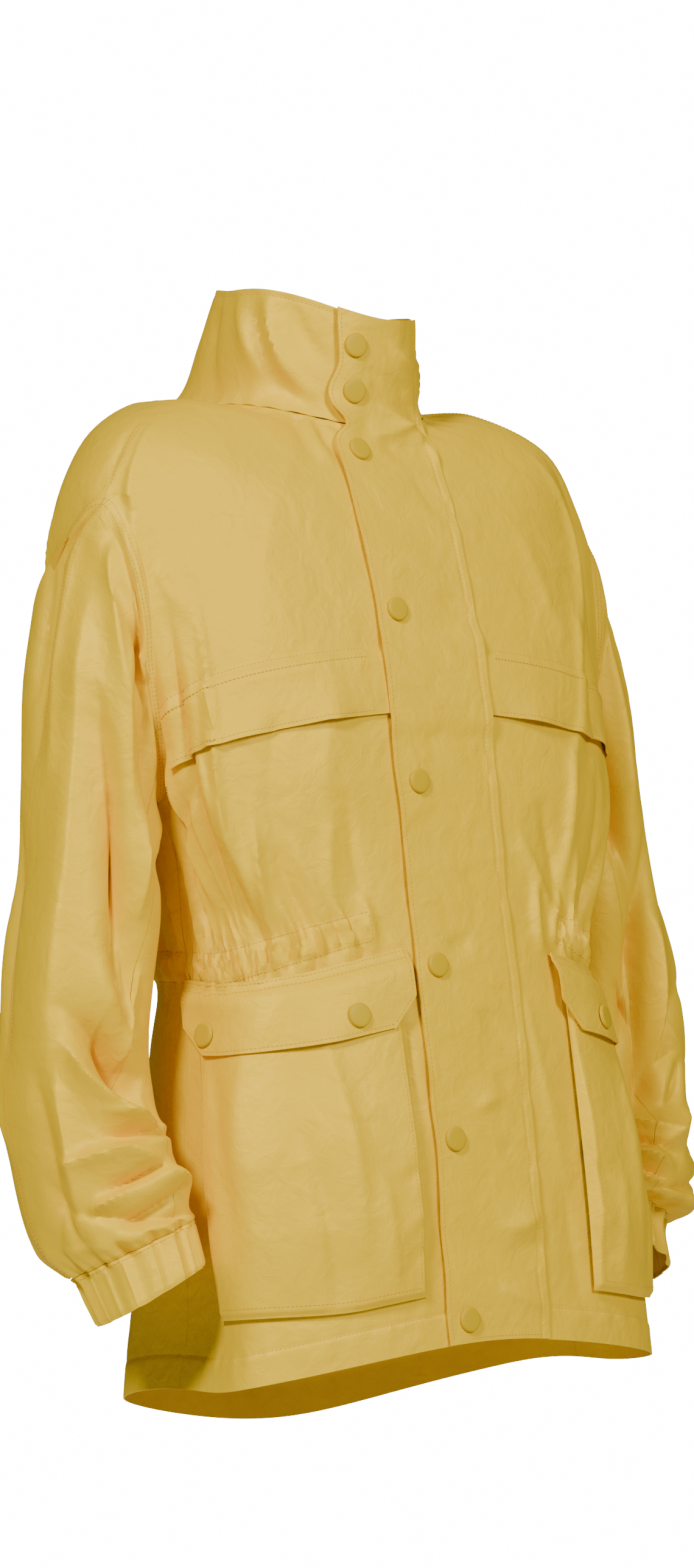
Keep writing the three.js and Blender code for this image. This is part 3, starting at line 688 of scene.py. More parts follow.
def collar_surface(angle, level):
    top_stitch = 0.4 * bell((level - COLLAR_TOP + 4) / 1.2)
    gather = np.sin(np.radians(angle * 31 + 50 * np.sin(np.radians(angle * 4))))
    gather = 0.7 * gather * bell((level - NECK) / 12)
    waver = 1.2 * np.sin(np.radians(angle * 5 + 30)) * smooth(level, 0, COLLAR_TOP)
    height = fold_height(COLLAR_CREASES, wrapped(angle), level, 1.5) + gather + waver - top_stitch
    return lifted(body, angle, level, height)[0]


def collar():
    seam, rim = NECK + np.array([1.0, 2, 3.5, 6, 9]), COLLAR_TOP - np.array([7, 5.2, 4, 2.8, 1.6, 0.6, 0])
    levels = np.concatenate([seam, np.arange(-10, 50, 3.2), rim])[:, None]
    f = spaced(500, 4.5)[None, :]
    angle = between(angle_at(CLOSURE + 1, levels), 360 + angle_at(CLOSURE - 1, levels), f)
    return body_shell("collar_cloth", collar_surface, angle, levels + 0 * angle, thickness=1.6)


PLACKET = {"free": -46, "sewn": 50, "free_lift": 2.8, "sewn_lift": 1.4, "neck_lift": 2.4, "yoke_lift": 4.4}
PLACKET_CREASES = table(
    FOLD_COLUMNS,
    [
        (-2, 6, 50, -36, -6, 5, -3.0),
        (4, -8, 50, -52, -6, 5, 2.4),
        (0, -36, 50, -40, 5, 4, -2.2),
        (-10, -30, 46, -22, 0, 5, 1.8),
        (22, -64, 50, -94, 0, 5, -2.4),
        (12, 40, 46, 22, 4, 6, 2.0),
        (-14, 20, 30, 6, 0, 6, -1.5),
        (20, -150, 46, -158, 0, 5, -1.4),
        (24, -262, 48, -270, 0, 6, -1.4),
        (10, -352, 48, -360, 0, 6, -1.8),
        (-14, -404, 4, -398, 0, 4, -1.5),
        (8, -452, 46, -462, 0, 7, -1.5),
        (22, -500, 48, -505, 0, 4, -2.0),
        (-6, -520, 20, -512, 0, 5, 1.4),
        (18, -548, 48, -556, 0, 5, -2.0),
        (12, -606, 48, -596, 4, 7, 2.1),
        (20, -622, 48, -618, 0, 5, -2.1),
        (4, -650, 46, -664, 0, 7, 1.5),
    ],
)


def placket_edge(level):
    waver = 1.1 * np.sin(level / 31) + 0.7 * np.sin(level / 12.7 + 1)
    notch = 16 * bell((level + 24) / 12) - 4 * bell((level - 4) / 12)
    return PLACKET["free"] + 12 * smooth(level, -28, 20) + notch + waver


def placket_surface(across, level):
    curl = 5 * bell((level + 22) / 16) * smooth(across, -12, PLACKET["free"])
    toward_sewn = smooth(across, PLACKET["free"], PLACKET["sewn"])
    flat = between(PLACKET["free_lift"], PLACKET["sewn_lift"], toward_sewn)
    neck = np.maximum(flat, between(flat, PLACKET["neck_lift"], bell((level - NECK) / 30)))
    drop = YOKE_FRONT - level
    over_yoke = smooth(drop, -26, -10) * smooth(drop, 62, 46)
    lift = CLOTH + between(neck, PLACKET["yoke_lift"], over_yoke) + curl
    lift = lift + fold_height(PLACKET_CREASES, across, level, 1)
    lift = lift - 0.5 * bell((across - PLACKET["sewn"] + 7.5) / 1.2)
    ripple = 0.7 * np.sin(level / 9.3 + across / 24) * np.sin(level / 41 + 0.6)
    height = np.maximum(lift + ripple, CLOTH + 0.4)
    return lifted(body, angle_at(across, level), level, height)[0]


def placket():
    top, foot = COLLAR_TOP + 0.5 - np.array([0, 0.8, 2, 3.4]), HEM + np.array([4.5, 2, 0.5])
    levels = np.concatenate([top, np.arange(51, HEM + 8, -2.8), foot])[:, None]
    f = spaced(96, 3.2, rims=(0.0, 0.927, 1.0))[None, :]
    across = between(placket_edge(levels), PLACKET["sewn"] + 0 * levels, f)
    normal = normal_of(body_base, angle_at(across, levels), levels, 0.5, 1.5)
    return cloth_shell("placket_cloth", placket_surface(across, levels + 0 * across), normal, thickness=1.5)


# Sleeves
def sleeve_ring(turn, down):
    ring = sample(SLEEVE_RINGS, down)
    sine, cosine = np.sin(np.radians(turn)), np.cos(np.radians(turn))
    radius = square_radius(sine, cosine, ring["squareness"])
    x = (ring["out_x"] + ring["in_x"]) / 2 + (ring["out_x"] - ring["in_x"]) / 2 * cosine * radius
    y = ring["centre_y"] - ring["half_y"] * sine * radius
    z = (ring["out_z"] + ring["in_z"]) / 2 + (ring["out_z"] - ring["in_z"]) / 2 * cosine * radius
    return np.stack([x, y, z + ring["front_rise"] * sine * radius], -1)


SLEEVE_START = 60


def armhole_point(turn):
    return body(armhole_angle(turn), armhole_level(turn))


def cap_curves():
    """The sleeve leaves the armhole in a smooth curve: its ends and directions for every degree of turn."""
    turn = np.arange(0, 361.0)
    start = armhole_point(turn)
    normal = normal_of(body, armhole_angle(turn), armhole_level(turn), 0.5, 1)
    rim = armhole_point(turn + 1) - armhole_point(turn - 1)
    into = unit(np.cross(normal, rim))
    topness = ((1 + np.cos(np.radians(turn))) / 2)[:, None]
    leave = unit(into * topness + normal * between(1, CAP_PUFF, topness)) * between(26, 58, topness)
    end = sleeve_ring(turn, SLEEVE_START)
    arrive = (sleeve_ring(turn, SLEEVE_START + 4) - end) * SLEEVE_START / 4 * between(0.8, 1, topness)
    return start, leave, end, arrive


CAP = cap_curves()


def sleeve_base(turn, down):
    turn, down = np.broadcast_arrays(np.asarray(turn, float), np.asarray(down, float))
    ring = sleeve_ring(turn, np.maximum(down, SLEEVE_START))
    place = turn % 360
    low = np.minimum(place.astype(int), 359)
    g = (place - low)[..., None]
    start, leave, end, arrive = (between(c[low], c[low + 1], g) for c in CAP)
    f = np.clip(down / SLEEVE_START, -0.1, 1)[..., None]
    rise = end - start
    cap = start + f * (leave + f * (3 * rise - 2 * leave - arrive + f * (leave + arrive - 2 * rise)))
    return np.where((down >= SLEEVE_START)[..., None], ring, cap)


SLEEVE_FOLDS = table(
    FOLD_COLUMNS,
    [
        (95, 60, 105, 230, 0, 13, -7),
        (60, 30, 75, 200, 0, 12, 4),
        (60, 250, 130, 420, 0, 14, -6),
        (40, 380, 130, 470, 0, 12, -8),
        (60, 470, 140, 520, 0, 11, 6),
        (20, 520, 120, 550, 0, 8, -4),
    ],
)
RIGHT_SLEEVE_CREASES = [
    (-10, 16, -8, 196, 0, 7, -3.2),
    (-20, 40, -16, 150, 0, 6, -3.0),
    (4, 20, 8, 210, 0, 9, 2.4),
    (26, 90, 28, 400, 3, 17, 6.0),
    (88, 26, 30, 12, 0, 8, -5.0),
    (92, 70, 56, 30, 6, 8, -5.0),
    (36, 22, 62, 110, 0, 7, 3.4),
    (70, 16, 74, 120, 0, 6, -3.4),
    (84, 345, 44, 150, 0, 17, -11.0),
    (98, 150, 92, 300, 0, 9, 4.5),
    (134, 96, 130, 196, 0, 6, 3.0),
    (44, 404, 136, 462, -16, 8, 9.0),
    (60, 398, 130, 436, -10, 16, -13.0),
    (76, 330, 112, 404, 0, 12, -6.0),
    (112, 350, 96, 418, 4, 6, 4.0),
    (62, 448, 96, 452, 0, 5, 2.6),
    (28, 486, 122, 474, 4, 8, 6.0),
    (118, 462, 56, 470, 0, 7, -5.0),
    (100, 492, 52, 508, 0, 6, -7.5),
    (34, 524, 98, 502, 4, 7, 6.0),
    (112, 518, 54, 538, 0, 6, -5.0),
    (96, 500, 118, 512, 0, 5, 4.0),
    (14, 430, 0, 548, 8, 12, -4.5),
    (32, 430, 20, 545, 6, 10, 4.5),
    (6, 500, 24, 556, 0, 6, -2.6),
    (-30, 250, -26, 420, 0, 12, -3.6),
    (-60, 380, -30, 470, 0, 10, 3.5),
    (200, 100, 215, 260, 6, 14, -4.0),
    (240, 60, 250, 330, -8, 16, 4.0),
    (290, 120, 300, 300, 6, 14, -4.0),
    (180, 380, 250, 440, 8, 10, 5.0),
    (210, 420, 290, 470, 8, 11, -6.0),
    (226, 478, 286, 514, -6, 10, 2.5),
]
LEFT_SLEEVE_CREASES = [
    (10, 20, 6, 210, 0, 12, -3.5),
    (34, 30, 40, 190, 4, 10, 3.5),
    (100, 50, 88, 290, 6, 13, -6.0),
    (82, 300, 110, 452, 4, 11, -7.0),
    (70, 320, 92, 470, 4, 9, 5.5),
    (124, 366, 108, 400, 0, 6, -4.0),
    (136, 470, 80, 490, 0, 7, 5.0),
    (138, 486, 84, 505, 0, 6, -5.5),
    (136, 502, 94, 518, 0, 6, 5.0),
    (132, 516, 98, 531, 0, 6, -4.5),
    (130, 530, 96, 542, 0, 6, 3.5),
    (60, 430, 100, 466, -6, 8, -4.5),
    (28, 300, 36, 430, 0, 14, 4.0),
    (6, 440, 60, 500, -6, 9, -5.0),
    (0, 470, 50, 525, -6, 8, 4.0),
    (200, 110, 214, 270, -6, 14, 4.0),
    (244, 70, 252, 310, 8, 15, -4.0),
    (292, 130, 302, 330, -6, 14, 4.0),
    (20, 549, 112, 546, 0, 9, 3.5),
    (190, 390, 255, 452, -8, 10, -5.0),
    (215, 430, 300, 474, 8, 11, 5.0),
]


def sleeve_table(creases):
    """The solids' own folds and one sleeve's creases."""
    shared = list(zip(*SLEEVE_FOLDS.values()))
    return table(FOLD_COLUMNS, shared + creases)


SLEEVE_CREASES = {-1: sleeve_table(RIGHT_SLEEVE_CREASES), 1: sleeve_table(LEFT_SLEEVE_CREASES)}


def cuff_gathers(turn, down):
    """Pleats that the elastic makes: softer up the sleeve, crisp and upright on the cuff."""
    large = np.sin(np.radians(turn * 13 + 40 * np.sin(np.radians(2 * turn))))
    small = np.sin(np.radians(turn * 29 + 50 * np.sin(np.radians(3 * turn + 20))))
    sharp = 1 - 2 * np.abs(np.sin(np.radians(turn * 8.5 + 45 * np.sin(np.radians(turn * 3))))) ** 0.6
    up_sleeve = 2.4 * large * bell((down - CUFF_SEAM) / 28) + 1.3 * small * bell((down - CUFF_SEAM) / 14)
    lean = 1 - 0.25 * smooth(down, CUFF_SEAM + 20, CUFF_END)
    on_cuff = (1.2 * large + 1.3 * sharp) * lean
    return between(up_sleeve, on_cuff, smooth(down, CUFF_SEAM + 0.5, CUFF_SEAM + 6))


def cuff_rows(down):
    """The cuff's seam lies deep, and its folded lower edge turns in."""
    return -1.6 * bell((down - CUFF_SEAM) / 2.5) - 1.2 * smooth(down, CUFF_END - 3.5, CUFF_END)


def sleeve_surface(side):
    creases = SLEEVE_CREASES[side]

    def surface(turn, down):
        turn, down = np.broadcast_arrays(np.asarray(turn, float), np.asarray(down, float))
        place = turn % 360
        folds = fold_height(creases, place, down, SLEEVE_SCALE)
        folds = folds + fold_height(creases, place - 360, down, SLEEVE_SCALE)
        height = folds * smooth(down, 0, 30) + cuff_gathers(turn, down) + cuff_rows(down)
        normal = normal_of(sleeve_base, turn, down, 1, 1)
        point = sleeve_base(turn, down) + normal * height[..., None]
        if side > 0:
            point[..., 1] += LEFT_CUFF_BACK * smooth(down, 530, 590)
        point[..., 0] *= side
        return point

    return surface


def outer_seam(down):
    return -28 * smooth(down, 120, 320)


def inner_seam(down):
    return INNER_SEAM - 12 * smooth(down, 60, 300)


CUFF_GAP = 0.2
SLEEVE_ROWS = np.concatenate(
    [
        [-3, -1.5, 0.3, 1.2, 2.4, 4],
        np.arange(7, 370, 4.0),
        np.arange(370, 566, 2.2),
        [567, 568.5, 570, CUFF_SEAM - CUFF_GAP],
    ]
)


def sleeve_part(side, front):
    down = SLEEVE_ROWS[:, None]
    start = outer_seam(down) if front else inner_seam(down)
    end = inner_seam(down) if front else outer_seam(down) + 360
    gap = SEAM_GAP / SLEEVE_SCALE
    turn = between(start + gap, end - gap, spaced(190 if front else 250, 2.6)[None, :])
    surface = sleeve_surface(side)
    outer = surface(turn, down + 0 * turn)
    name = f"sleeve_{'front' if front else 'back'}_cloth_{side_of(side)}"
    return cloth_shell(name, outer, sleeve_out(side, turn, down))


def sleeve_out(side, turn, down):
    """Rough outward directions of the sleeve."""
    centre = sleeve_base(turn, down) - sleeve_base(turn + 180, down)
    centre[..., 0] *= side
    return unit(centre)


def cuff(side):
    seam, edge = [CUFF_SEAM + CUFF_GAP, CUFF_SEAM + 1.6], [CUFF_END - 2, CUFF_END - 0.6, CUFF_END]
    down = np.concatenate([seam, np.arange(CUFF_SEAM + 4, CUFF_END - 2, 2.2), edge])[:, None]
    turn = np.arange(0, 360, 1.5)[None, :]
    outer = sleeve_surface(side)(turn, down)
    return cloth_shell(f"cuff_cloth_{side_of(side)}", outer, sleeve_out(side, turn, down), closed=True)


# Patch pockets and their flaps, by distance along the cloth from the centre front
POCKET = {"front": 82, "back": 250, "top": -412, "middle": -560, "bottom": -648, "lift": 12, "rise": 12}
FLAP = {"front": 72, "back": 258, "top": -398, "bottom": -454, "chamfer": 20}
POCKET_CREASES = table(
    FOLD_COLUMNS,
    [
        (150, -450, 138, -600, 6, 12, 2.2),
        (172, -520, 158, -646, 4, 9, -2.0),
        (205, -455, 214, -560, -4, 12, 2.0),
        (232, -470, 226, -620, 4, 9, -1.8),
        (84, -556, 104, -566, 0, 5, -0.8),
        (84, -588, 108, -604, 0, 6, 0.8),
        (84, -612, 100, -622, 0, 5, -0.7),
        (116, -560, 110, -640, 0, 8, 1.4),
    ],
)


def lifted_body(side, lift):
    def surface(across, level):
        across, level = np.broadcast_arrays(np.asarray(across, float), np.asarray(level, float))
        raised = level + POCKET["rise"] * smooth(across, POCKET["front"] + 50, POCKET["back"])
        return lifted(body, angle_at(CLOSURE + side * across, raised), raised, lift(across, level))[0]

    return surface


def pocket_lift(across, level):
    low = LAYER_GAP + CLOTH + 1
    edge = np.minimum(across - POCKET["front"], POCKET["back"] - across)
    rise = smooth(edge, 0, 5) * smooth(level - POCKET["bottom"], 0, 5)
    full = between(POCKET["lift"], 5.5, smooth(np.abs(level - POCKET["middle"]), 20, 110))
    return between(low, full, rise) + fold_height(POCKET_CREASES, across, level, 1) * rise


def pocket(side):
    columns = spaced(168, 3.4, rims=(0.0, 0.03, 0.97, 1.0))[None, :]
    across = between(POCKET["front"], POCKET["back"], columns)
    levels = between(POCKET["top"], POCKET["bottom"], spaced(236, 3.4, rims=(0.0, 0.978, 1.0)))[:, None]
    surface = lifted_body(side, pocket_lift)
    return panel_on_body(f"pocket_cloth_{side_of(side)}", side, surface, across, levels)


def panel_on_body(name, side, surface, across, level, **options):
    across, level = np.broadcast_arrays(across, level)
    normal = normal_of(body_base, angle_at(CLOSURE + side * across, level), level, 0.5, 1.5)
    return cloth_shell(name, surface(across, level), normal, **options)


def flap_surface(side):
    def lift(across, level):
        inside = np.clip(across, POCKET["front"] + 5, POCKET["back"] - 5)
        over_pocket = pocket_lift(inside, np.minimum(level, POCKET["top"] - 6))
        below_seam = smooth(level, FLAP["top"], FLAP["top"] - 18)
        sewn = between(LAYER_GAP + 1, over_pocket + LAYER_GAP + 1, below_seam)
        wave = 1.6 * np.sin(across / 17 + 0.8 * side) * smooth(level, -420, FLAP["bottom"])
        return sewn + CLOTH + wave - 0.4 * bell((level - FLAP["top"] + 6) / 1.2)

    return lifted_body(side, lift)


def pocket_flap(side):
    levels = between(FLAP["top"], FLAP["bottom"], spaced(56, 3.2, rims=(0.0, 0.107, 0.9, 1.0)))[:, None]
    cut = np.maximum(0, FLAP["bottom"] + FLAP["chamfer"] - levels)
    columns = spaced(186, 3.4, rims=(0.0, 0.03, 0.97, 1.0))[None, :]
    across = between(FLAP["front"] + cut, FLAP["back"] - cut, columns)
    name = f"flap_cloth_{side_of(side)}"
    return panel_on_body(name, side, flap_surface(side), across, levels, thickness=1.4)


# Painted snap caps
SNAPS = [(-21, 34), (-22, 2), (-27, -44), (-27, -159), (-27, -283), (-28, -415), (-28, -540), (-28, -669)]
FLAP_SNAPS = (50, 162)
FLAP_SNAP_RISE = 15
CAP_STAND = 0.5  # the foot of a cap lies this far above the cloth's surface
CAP_REST = 6  # a cap leans as the cloth does this far to each side of its middle
CAP_PROFILE = table(
    "radius height",
    [(0, 2.5), (3, 2.48), (6, 2.4), (7.6, 2.28), (8.3, 2.1), (8.75, 1.7), (9.0, 1.1), (9.0, 0)],
)


def snap_cap(name, surface, across, level, outward):
    place = np.array(float(across)), np.array(float(level))
    point = surface(*place)
    normal = normal_of(surface, *place, CAP_REST, CAP_REST) * outward
    side_way = unit(np.cross(normal, [0.0, 0.0, 1.0]))
    up_way = np.cross(side_way, normal)
    around = np.radians(np.arange(0, 360, 10))
    rings = []
    for radius, height in zip(CAP_PROFILE["radius"][1:], CAP_PROFILE["height"][1:]):
        circle = np.cos(around)[:, None] * side_way + np.sin(around)[:, None] * up_way
        rings.append(point + normal * (height + CAP_STAND) + circle * radius)
    count = len(around)
    top, foot = point + normal * (CAP_PROFILE["height"][0] + CAP_STAND), point + normal * CAP_STAND
    points = np.concatenate([*rings, [top, foot]])
    faces = []
    for r in range(len(rings) - 1):
        for i in range(count):
            j = (i + 1) % count
            faces.append(((r + 1) * count + i, (r + 1) * count + j, r * count + j, r * count + i))
    last, middle = (len(rings) - 1) * count, len(rings) * count
    faces += [(i, (i + 1) % count, middle) for i in range(count)]
    faces += [(last + (i + 1) % count, last + i, middle + 1) for i in range(count)]
    return make_mesh(name, points, faces, [cap_paint])


# Stitching
STITCH = {"pitch": 3.2, "length": 2.3, "width": 0.62, "height": 0.34}
STITCH_FACES = np.array(
    [(0, 1, 3, 2), (4, 6, 7, 5), (0, 4, 5, 1), (2, 3, 7, 6), (0, 2, 6, 4), (1, 5, 7, 3)]
)


def stitch_line(surface, a, b, outward):
    """Places one stitch after another along a line of surface coordinates."""
    points = surface(np.asarray(a, float), np.asarray(b, float))
    steps = np.linalg.norm(np.diff(points, axis=0), axis=-1)
    lengths = np.concatenate([[0], np.cumsum(steps)])
    starts = np.arange(0.6, lengths[-1] - STITCH["length"], STITCH["pitch"])
    ends = starts + STITCH["length"]
    at = [np.stack([np.interp(s, lengths, points[:, k]) for k in range(3)], -1) for s in (starts, ends)]
    middle = (starts + ends) / 2
    middle_a, middle_b = np.interp(middle, lengths, a), np.interp(middle, lengths, b)
    normal = normal_of(surface, middle_a, middle_b, 0.5, 1) * outward
    along = unit(at[1] - at[0])
    across = np.cross(along, normal) * STITCH["width"] / 2
    return at[0], at[1], across, normal * STITCH["height"]


def stitching(name, lines):
    """One piece with all the stitches of a panel."""
    starts, ends, across, up = (np.concatenate(c) for c in zip(*lines))
    corners = []
    for point in (starts, ends):
        corners += [point - across - 0.3 * up, point + across - 0.3 * up]
    for point in (between(starts, ends, 0.16), between(starts, ends, 0.84)):
        corners += [point - across * 0.7 + up, point + across * 0.7 + up]
    points = np.stack(corners, 1).reshape(-1, 3)
    faces = STITCH_FACES[None] + 8 * np.arange(len(starts))[:, None, None]
    return make_mesh(name, points, faces.reshape(-1, 4).tolist(), [thread_paint])


CHANNEL_STITCHES = (WAIST + 10.2, WAIST - 10.2)
HEM_STITCH, NECK_STITCH, RIM_STITCH = HEM + 23.4, NECK - 5.5, COLLAR_TOP - 4.2
FRONT_START = 15.5  # ring angle where the fronts' stitches go under the placket
BACK_SPAN = (98.6, 261.4)


def level_stitches(surface, start, end, level, count, outward=1):
    """Stitches that keep to one level of the body or one distance down the sleeve."""
    return stitch_line(surface, np.linspace(start, end, count), np.full(count, level), outward)


def shoulder_stitches(surface, angle):
    levels = np.linspace(NECK - 3, ARMHOLE["top"] + 3, 60)
    return stitch_line(surface, np.full(60, angle), levels, 1)


def body_stitches(side):
    """Topstitching of one front's yoke, waist channel and hem."""
    edge, start = side * (YOKE_EDGE_ANGLE - 1.5), side * FRONT_START
    angle = np.linspace(start, edge, 90)
    yoke = [stitch_line(yoke_surface, angle, stitch_level(angle) + rise, 1) for rise in (2.2, 8.5)]
    flap_angle = np.linspace(start, side * (YOKE_EDGE_ANGLE - 2.4), 90)
    drop = flap_depth(flap_angle) - 3.0
    yoke.append(stitch_line(yoke_surface, flap_angle, stitch_level(flap_angle) - drop, 1))
    yoke.append(shoulder_stitches(yoke_surface, side * (ARMHOLE["top_angle"] - 1.2)))
    yoke.append(level_stitches(yoke_surface, start, side * 76, NECK_STITCH, 70))
    stitching(f"yoke_stitches_{side_of(side)}", yoke)
    end = side * float(CHANNEL_START[side] + 2)
    lower = [level_stitches(cloth_body, end, side * 96, level, 160) for level in CHANNEL_STITCHES]
    lower.append(stitch_line(cloth_body, np.full(12, end), np.linspace(WAIST - 10, WAIST + 10, 12), 1))
    lower.append(level_stitches(cloth_body, side * 16, side * 97.5, HEM_STITCH, 180))
    stitching(f"front_stitches_{side_of(side)}", lower)


def back_stitches():
    levels = (*CHANNEL_STITCHES, HEM_STITCH)
    lines = [level_stitches(cloth_body, *BACK_SPAN, level, 260) for level in levels]
    for side in (-1, 1):
        lines.append(shoulder_stitches(cloth_body, side * (ARMHOLE["top_angle"] + 1.2)))
    lines.append(level_stitches(cloth_body, 80, 280, NECK_STITCH, 180))
    stitching("back_stitches", lines)


def placket_stitches():
    level = np.linspace(COLLAR_TOP - 2.5, HEM + 3, 400)
    sewn = np.full(400, PLACKET["sewn"] - 7.2)
    lines = [stitch_line(placket_surface, sewn, level, 1)]
    lines.append(stitch_line(placket_surface, placket_edge(level) + 2.4, level, 1))
    lines.append(level_stitches(placket_surface, -28, PLACKET["sewn"] - 8, HEM + 3.5, 40))
    stitching("placket_stitches", lines)
    stitching("collar_stitches", [level_stitches(collar_surface, 30, 345, RIM_STITCH, 260)])


def sleeve_stitches(side):
    surface = sleeve_surface(side)
    down = np.linspace(3, CUFF_SEAM - 4, 300)
    lines = [stitch_line(surface, outer_seam(down) + shift, down, side) for shift in (2.2, 7.5)]
    lines += [level_stitches(surface, 0, 360, rim, 200, side) for rim in (3.4, 9.0)]
    stitching(f"sleeve_stitches_{side_of(side)}", lines)
    cuff_line = level_stitches(surface, 0, 360, CUFF_SEAM + 3.0, 200, side)
    stitching(f"cuff_stitches_{side_of(side)}", [cuff_line])


def stitched_path(surface, corners, count, side):
    """Straight stitch lines from corner to corner."""
    lines = []
    for (a0, b0), (a1, b1) in zip(corners, corners[1:]):
        lines.append(stitch_line(surface, np.linspace(a0, a1, count), np.linspace(b0, b1, count), side))
    return lines


def pocket_stitches(side):
    surface = flap_surface(side)
    ends = (FLAP["front"] + 2, FLAP["back"] - 2)
    lines = [level_stitches(surface, *ends, FLAP["top"] - drop, 90, side) for drop in (2.2, 8.0)]
    inset, chamfer = 3.0, FLAP["chamfer"]
    corners = [
        (FLAP["front"] + inset, FLAP["top"] - 2),
        (FLAP["front"] + inset, FLAP["bottom"] + chamfer + 1),
        (FLAP["front"] + chamfer + 1, FLAP["bottom"] + inset),
        (FLAP["back"] - chamfer - 1, FLAP["bottom"] + inset),
        (FLAP["back"] - inset, FLAP["bottom"] + chamfer + 1),
        (FLAP["back"] - inset, FLAP["top"] - 2),
    ]
    stitching(f"flap_stitches_{side_of(side)}", lines + stitched_path(surface, corners, 50, side))
    surface = lifted_body(side, pocket_lift)
    inset = 7.5
    corners = [
        (POCKET["front"] + inset, POCKET["top"]),
        (POCKET["front"] + inset, POCKET["bottom"] + inset),
        (POCKET["back"] - inset, POCKET["bottom"] + inset),
        (POCKET["back"] - inset, POCKET["top"]),
    ]
    stitching(f"pocket_stitches_{side_of(side)}", stitched_path(surface, corners, 120, side))


# Materials
def new_material(name):
    material = bpy.data.materials.new(name)
    material.use_nodes = True
    nodes = material.node_tree.nodes
    return material, nodes, material.node_tree.links, nodes["Principled BSDF"]


def crumple_group():
    """Fine creasing of crisp poplin: a height and a soft mottle of colour, both from the cloth's own
    coordinates. The mottle is the height's broad part, so it is painted shade: darker in the hollows of the
    creasing and lighter on its rises.
    """
    group = bpy.data.node_groups.new("poplin_crumple", "ShaderNodeTree")
    group.interface.new_socket("Height", in_out="OUTPUT", socket_type="NodeSocketFloat")
    group.interface.new_socket("Mottle_And_Shade", in_out="OUTPUT", socket_type="NodeSocketFloat")
    nodes, links = group.nodes, group.links
    place = nodes.new("ShaderNodeTexCoord")
    out = nodes.new("NodeGroupOutput")

    def noise(scale, detail, rough, distortion=0.0):
        made = nodes.new("ShaderNodeTexNoise")
        made.inputs["Scale"].default_value = scale
        made.inputs["Detail"].default_value = detail
        made.inputs["Roughness"].default_value = rough
        made.inputs["Distortion"].default_value = distortion
        links.new(place.outputs["Object"], made.inputs["Vector"])
        return made.outputs["Fac"]

    def scaled(value, factor, added=None):
        made = nodes.new("ShaderNodeMath")
        made.operation = "MULTIPLY_ADD" if added is not None else "MULTIPLY"
        links.new(value, made.inputs[0])
        made.inputs[1].default_value = factor
        if added is not None:
            links.new(added, made.inputs[2])
        return made.outputs[0]

    broad = noise(26, 2.0, 0.5, 0.6)
    creases = noise(70, 3.0, 0.55, 1.1)
    slubs = noise(900, 1.0, 0.5)
    height = scaled(slubs, 0.03, scaled(creases, 0.35, scaled(broad, 1.0)))
    links.new(height, out.inputs["Height"])
    # The colour follows the height's broad part: painted shade in the hollows, painted light on the rises.
    links.new(broad, out.inputs["Mottle_And_Shade"])
    return group


def poplin(name, colour, roughness, depth, crumple):
    material, nodes, links, shader = new_material(name)
    texture = nodes.new("ShaderNodeGroup")
    texture.node_tree = crumple
    # Base colour 7% darker in the crumple's hollows and 4% lighter on its rises: painted shade and light.
    shade = nodes.new("ShaderNodeMix")
    shade.data_type = "RGBA"
    shade.inputs[6].default_value = (*[c * 0.93 for c in colour], 1)
    shade.inputs[7].default_value = (*[min(c * 1.04, 1) for c in colour], 1)
    links.new(texture.outputs["Mottle_And_Shade"], shade.inputs[0])
    links.new(shade.outputs[2], shader.inputs["Base Color"])
    bump = nodes.new("ShaderNodeBump")
    bump.inputs["Strength"].default_value = 1.0
    bump.inputs["Distance"].default_value = depth
    links.new(texture.outputs["Height"], bump.inputs["Height"])
    links.new(bump.outputs["Normal"], shader.inputs["Normal"])
    shader.inputs["Roughness"].default_value = roughness
    shader.inputs["Specular IOR Level"].default_value = 0.2
    shader.inputs["Metallic"].default_value = SATIN
    return material


def plain(name, colour, roughness, specular=0.5):
    material, _, _, shader = new_material(name)
    shader.inputs["Base Color"].default_value = (*colour, 1)
    shader.inputs["Roughness"].default_value = roughness
    shader.inputs["Specular IOR Level"].default_value = specular
    return material


SATIN = 0.14  # how much of the cloth's reflection has the cloth's own colour
CLOTH_COLOUR = (0.90, 0.575, 0.0)
crumple = crumple_group()
cloth_paint = poplin("yellow_poplin", CLOTH_COLOUR, 0.56, 0.0022, crumple)
# The inside skin is the same cloth, slightly rougher, with its colour painted darker and more orange as
# shade.
inside_shade_paint = poplin("poplin_inside_shaded", (0.80, 0.47, 0.0), 0.7, 0.0012, crumple)
thread_paint = plain("yellow_thread", (0.72, 0.42, 0.001), 0.55)
cap_paint = plain("snap_paint", (0.60, 0.39, 0.0), 0.38, 0.12)


# Pieces
NODE_NAMES = {"yoke": "front_yoke", "front": "front_lower", "flap": "pocket_flap"}


def place_cloth(piece):
    kind, _, side = piece.name.partition("_cloth")
    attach(piece, "root")
    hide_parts(NODE_NAMES.get(kind, kind) + side)


for side in (-1, 1):
    for make in (front_yoke, front_lower, cuff, pocket, pocket_flap):
        place_cloth(make(side))
    place_cloth(sleeve_part(side, True))
    place_cloth(sleeve_part(side, False))
    body_stitches(side)
    sleeve_stitches(side)
    pocket_stitches(side)
place_cloth(back())
place_cloth(collar())
place_cloth(placket())
back_stitches()
placket_stitches()

for piece in list(bpy.data.objects):
    if piece.name.find("_stitches") > 0:
        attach(piece, "root")


def place_cap(cap, node):
    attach(cap, "root")
    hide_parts(node)


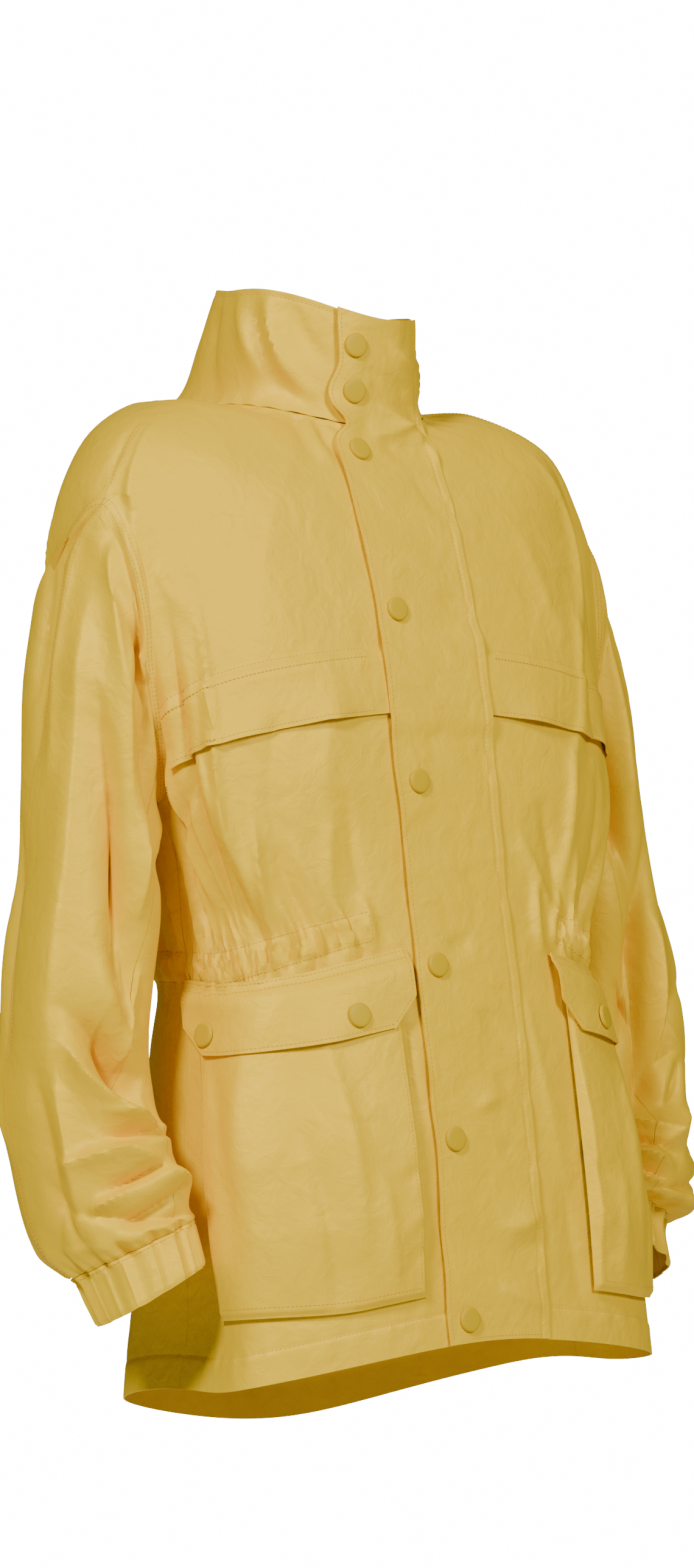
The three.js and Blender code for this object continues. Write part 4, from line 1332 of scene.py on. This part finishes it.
for i, (across, level) in enumerate(SNAPS):
    place_cap(snap_cap(f"snap_cap_{i + 1}", placket_surface, across, level, 1), f"snap_{i + 1}")
for side in (-1, 1):
    for i, far in enumerate(FLAP_SNAPS):
        name = f"{side_of(side)}_{i + 1}"
        place = (FLAP["front"] + far, FLAP["bottom"] + FLAP_SNAP_RISE)
        place_cap(snap_cap(f"flap_cap_{name}", flap_surface(side), *place, side), f"flap_snap_{name}")


# Studio
def floor_disc(radius, height):
    around = np.radians(np.arange(0, 360, 5))
    points = np.stack([np.cos(around) * radius, np.sin(around) * radius, np.full(len(around), height)], -1)
    mesh = bpy.data.meshes.new("studio_floor")
    mesh.from_pydata(points.tolist(), [], [list(range(len(around)))])
    mesh.materials.append(plain("white_floor", (0.86, 0.86, 0.86), 0.8))
    return linked("studio_floor", mesh)


def soft_light(name, place, aim, size, power, colour):
    data = bpy.data.lights.new(name, "AREA")
    data.shape = "DISK"
    data.size = size
    data.energy = power
    data.color = colour
    lamp = linked(name, data)
    lamp.location = place
    lamp.rotation_euler = (Vector(aim) - Vector(place)).to_track_quat("-Z", "Y").to_euler()


def white_room(backdrop, ambient):
    """The camera sees a white backdrop, and a softer white lights the cloth from all round."""
    world = bpy.data.worlds.new("white_room")
    world.use_nodes = True
    nodes, links = world.node_tree.nodes, world.node_tree.links
    sky = nodes["Background"]
    path = nodes.new("ShaderNodeLightPath")
    strength = nodes.new("ShaderNodeMix")
    strength.inputs[2].default_value = ambient
    strength.inputs[3].default_value = backdrop
    links.new(path.outputs["Is Camera Ray"], strength.inputs[0])
    links.new(strength.outputs[0], sky.inputs["Strength"])
    sky.inputs["Color"].default_value = (1, 1, 1, 1)
    bpy.context.scene.world = world


CAMERA = {"distance": 4.5, "aside": 0.025, "height": -0.285, "lens": 138.35}


def camera():
    """A long lens from the photo's side: 40 degrees to the wearer's right, level, 4.5 m away."""
    view_way = Vector((0.643, 0.766, 0.0))
    right_way = Vector((0.766, -0.643, 0.0))
    data = bpy.data.cameras.new("camera")
    data.sensor_fit = "AUTO"
    data.sensor_width = 36
    data.lens = CAMERA["lens"]
    data.dof.use_dof = False
    seen = linked("camera", data)
    place = view_way * -CAMERA["distance"] + right_way * CAMERA["aside"]
    seen.location = place + Vector((0, 0, CAMERA["height"]))
    seen.rotation_euler = view_way.to_track_quat("-Z", "Y").to_euler()
    bpy.context.scene.camera = seen


floor_disc(2.5, -1.45)
soft_light("key", (-3.4, -1.5, 2.3), (0, 0, -0.4), 0.9, 192, (1.0, 0.99, 0.97))
soft_light("fill", (0.2, -3.8, 1.7), (0, 0, -0.4), 1.2, 122, (1.0, 0.98, 0.95))
white_room(16.0, 0.11)
camera()
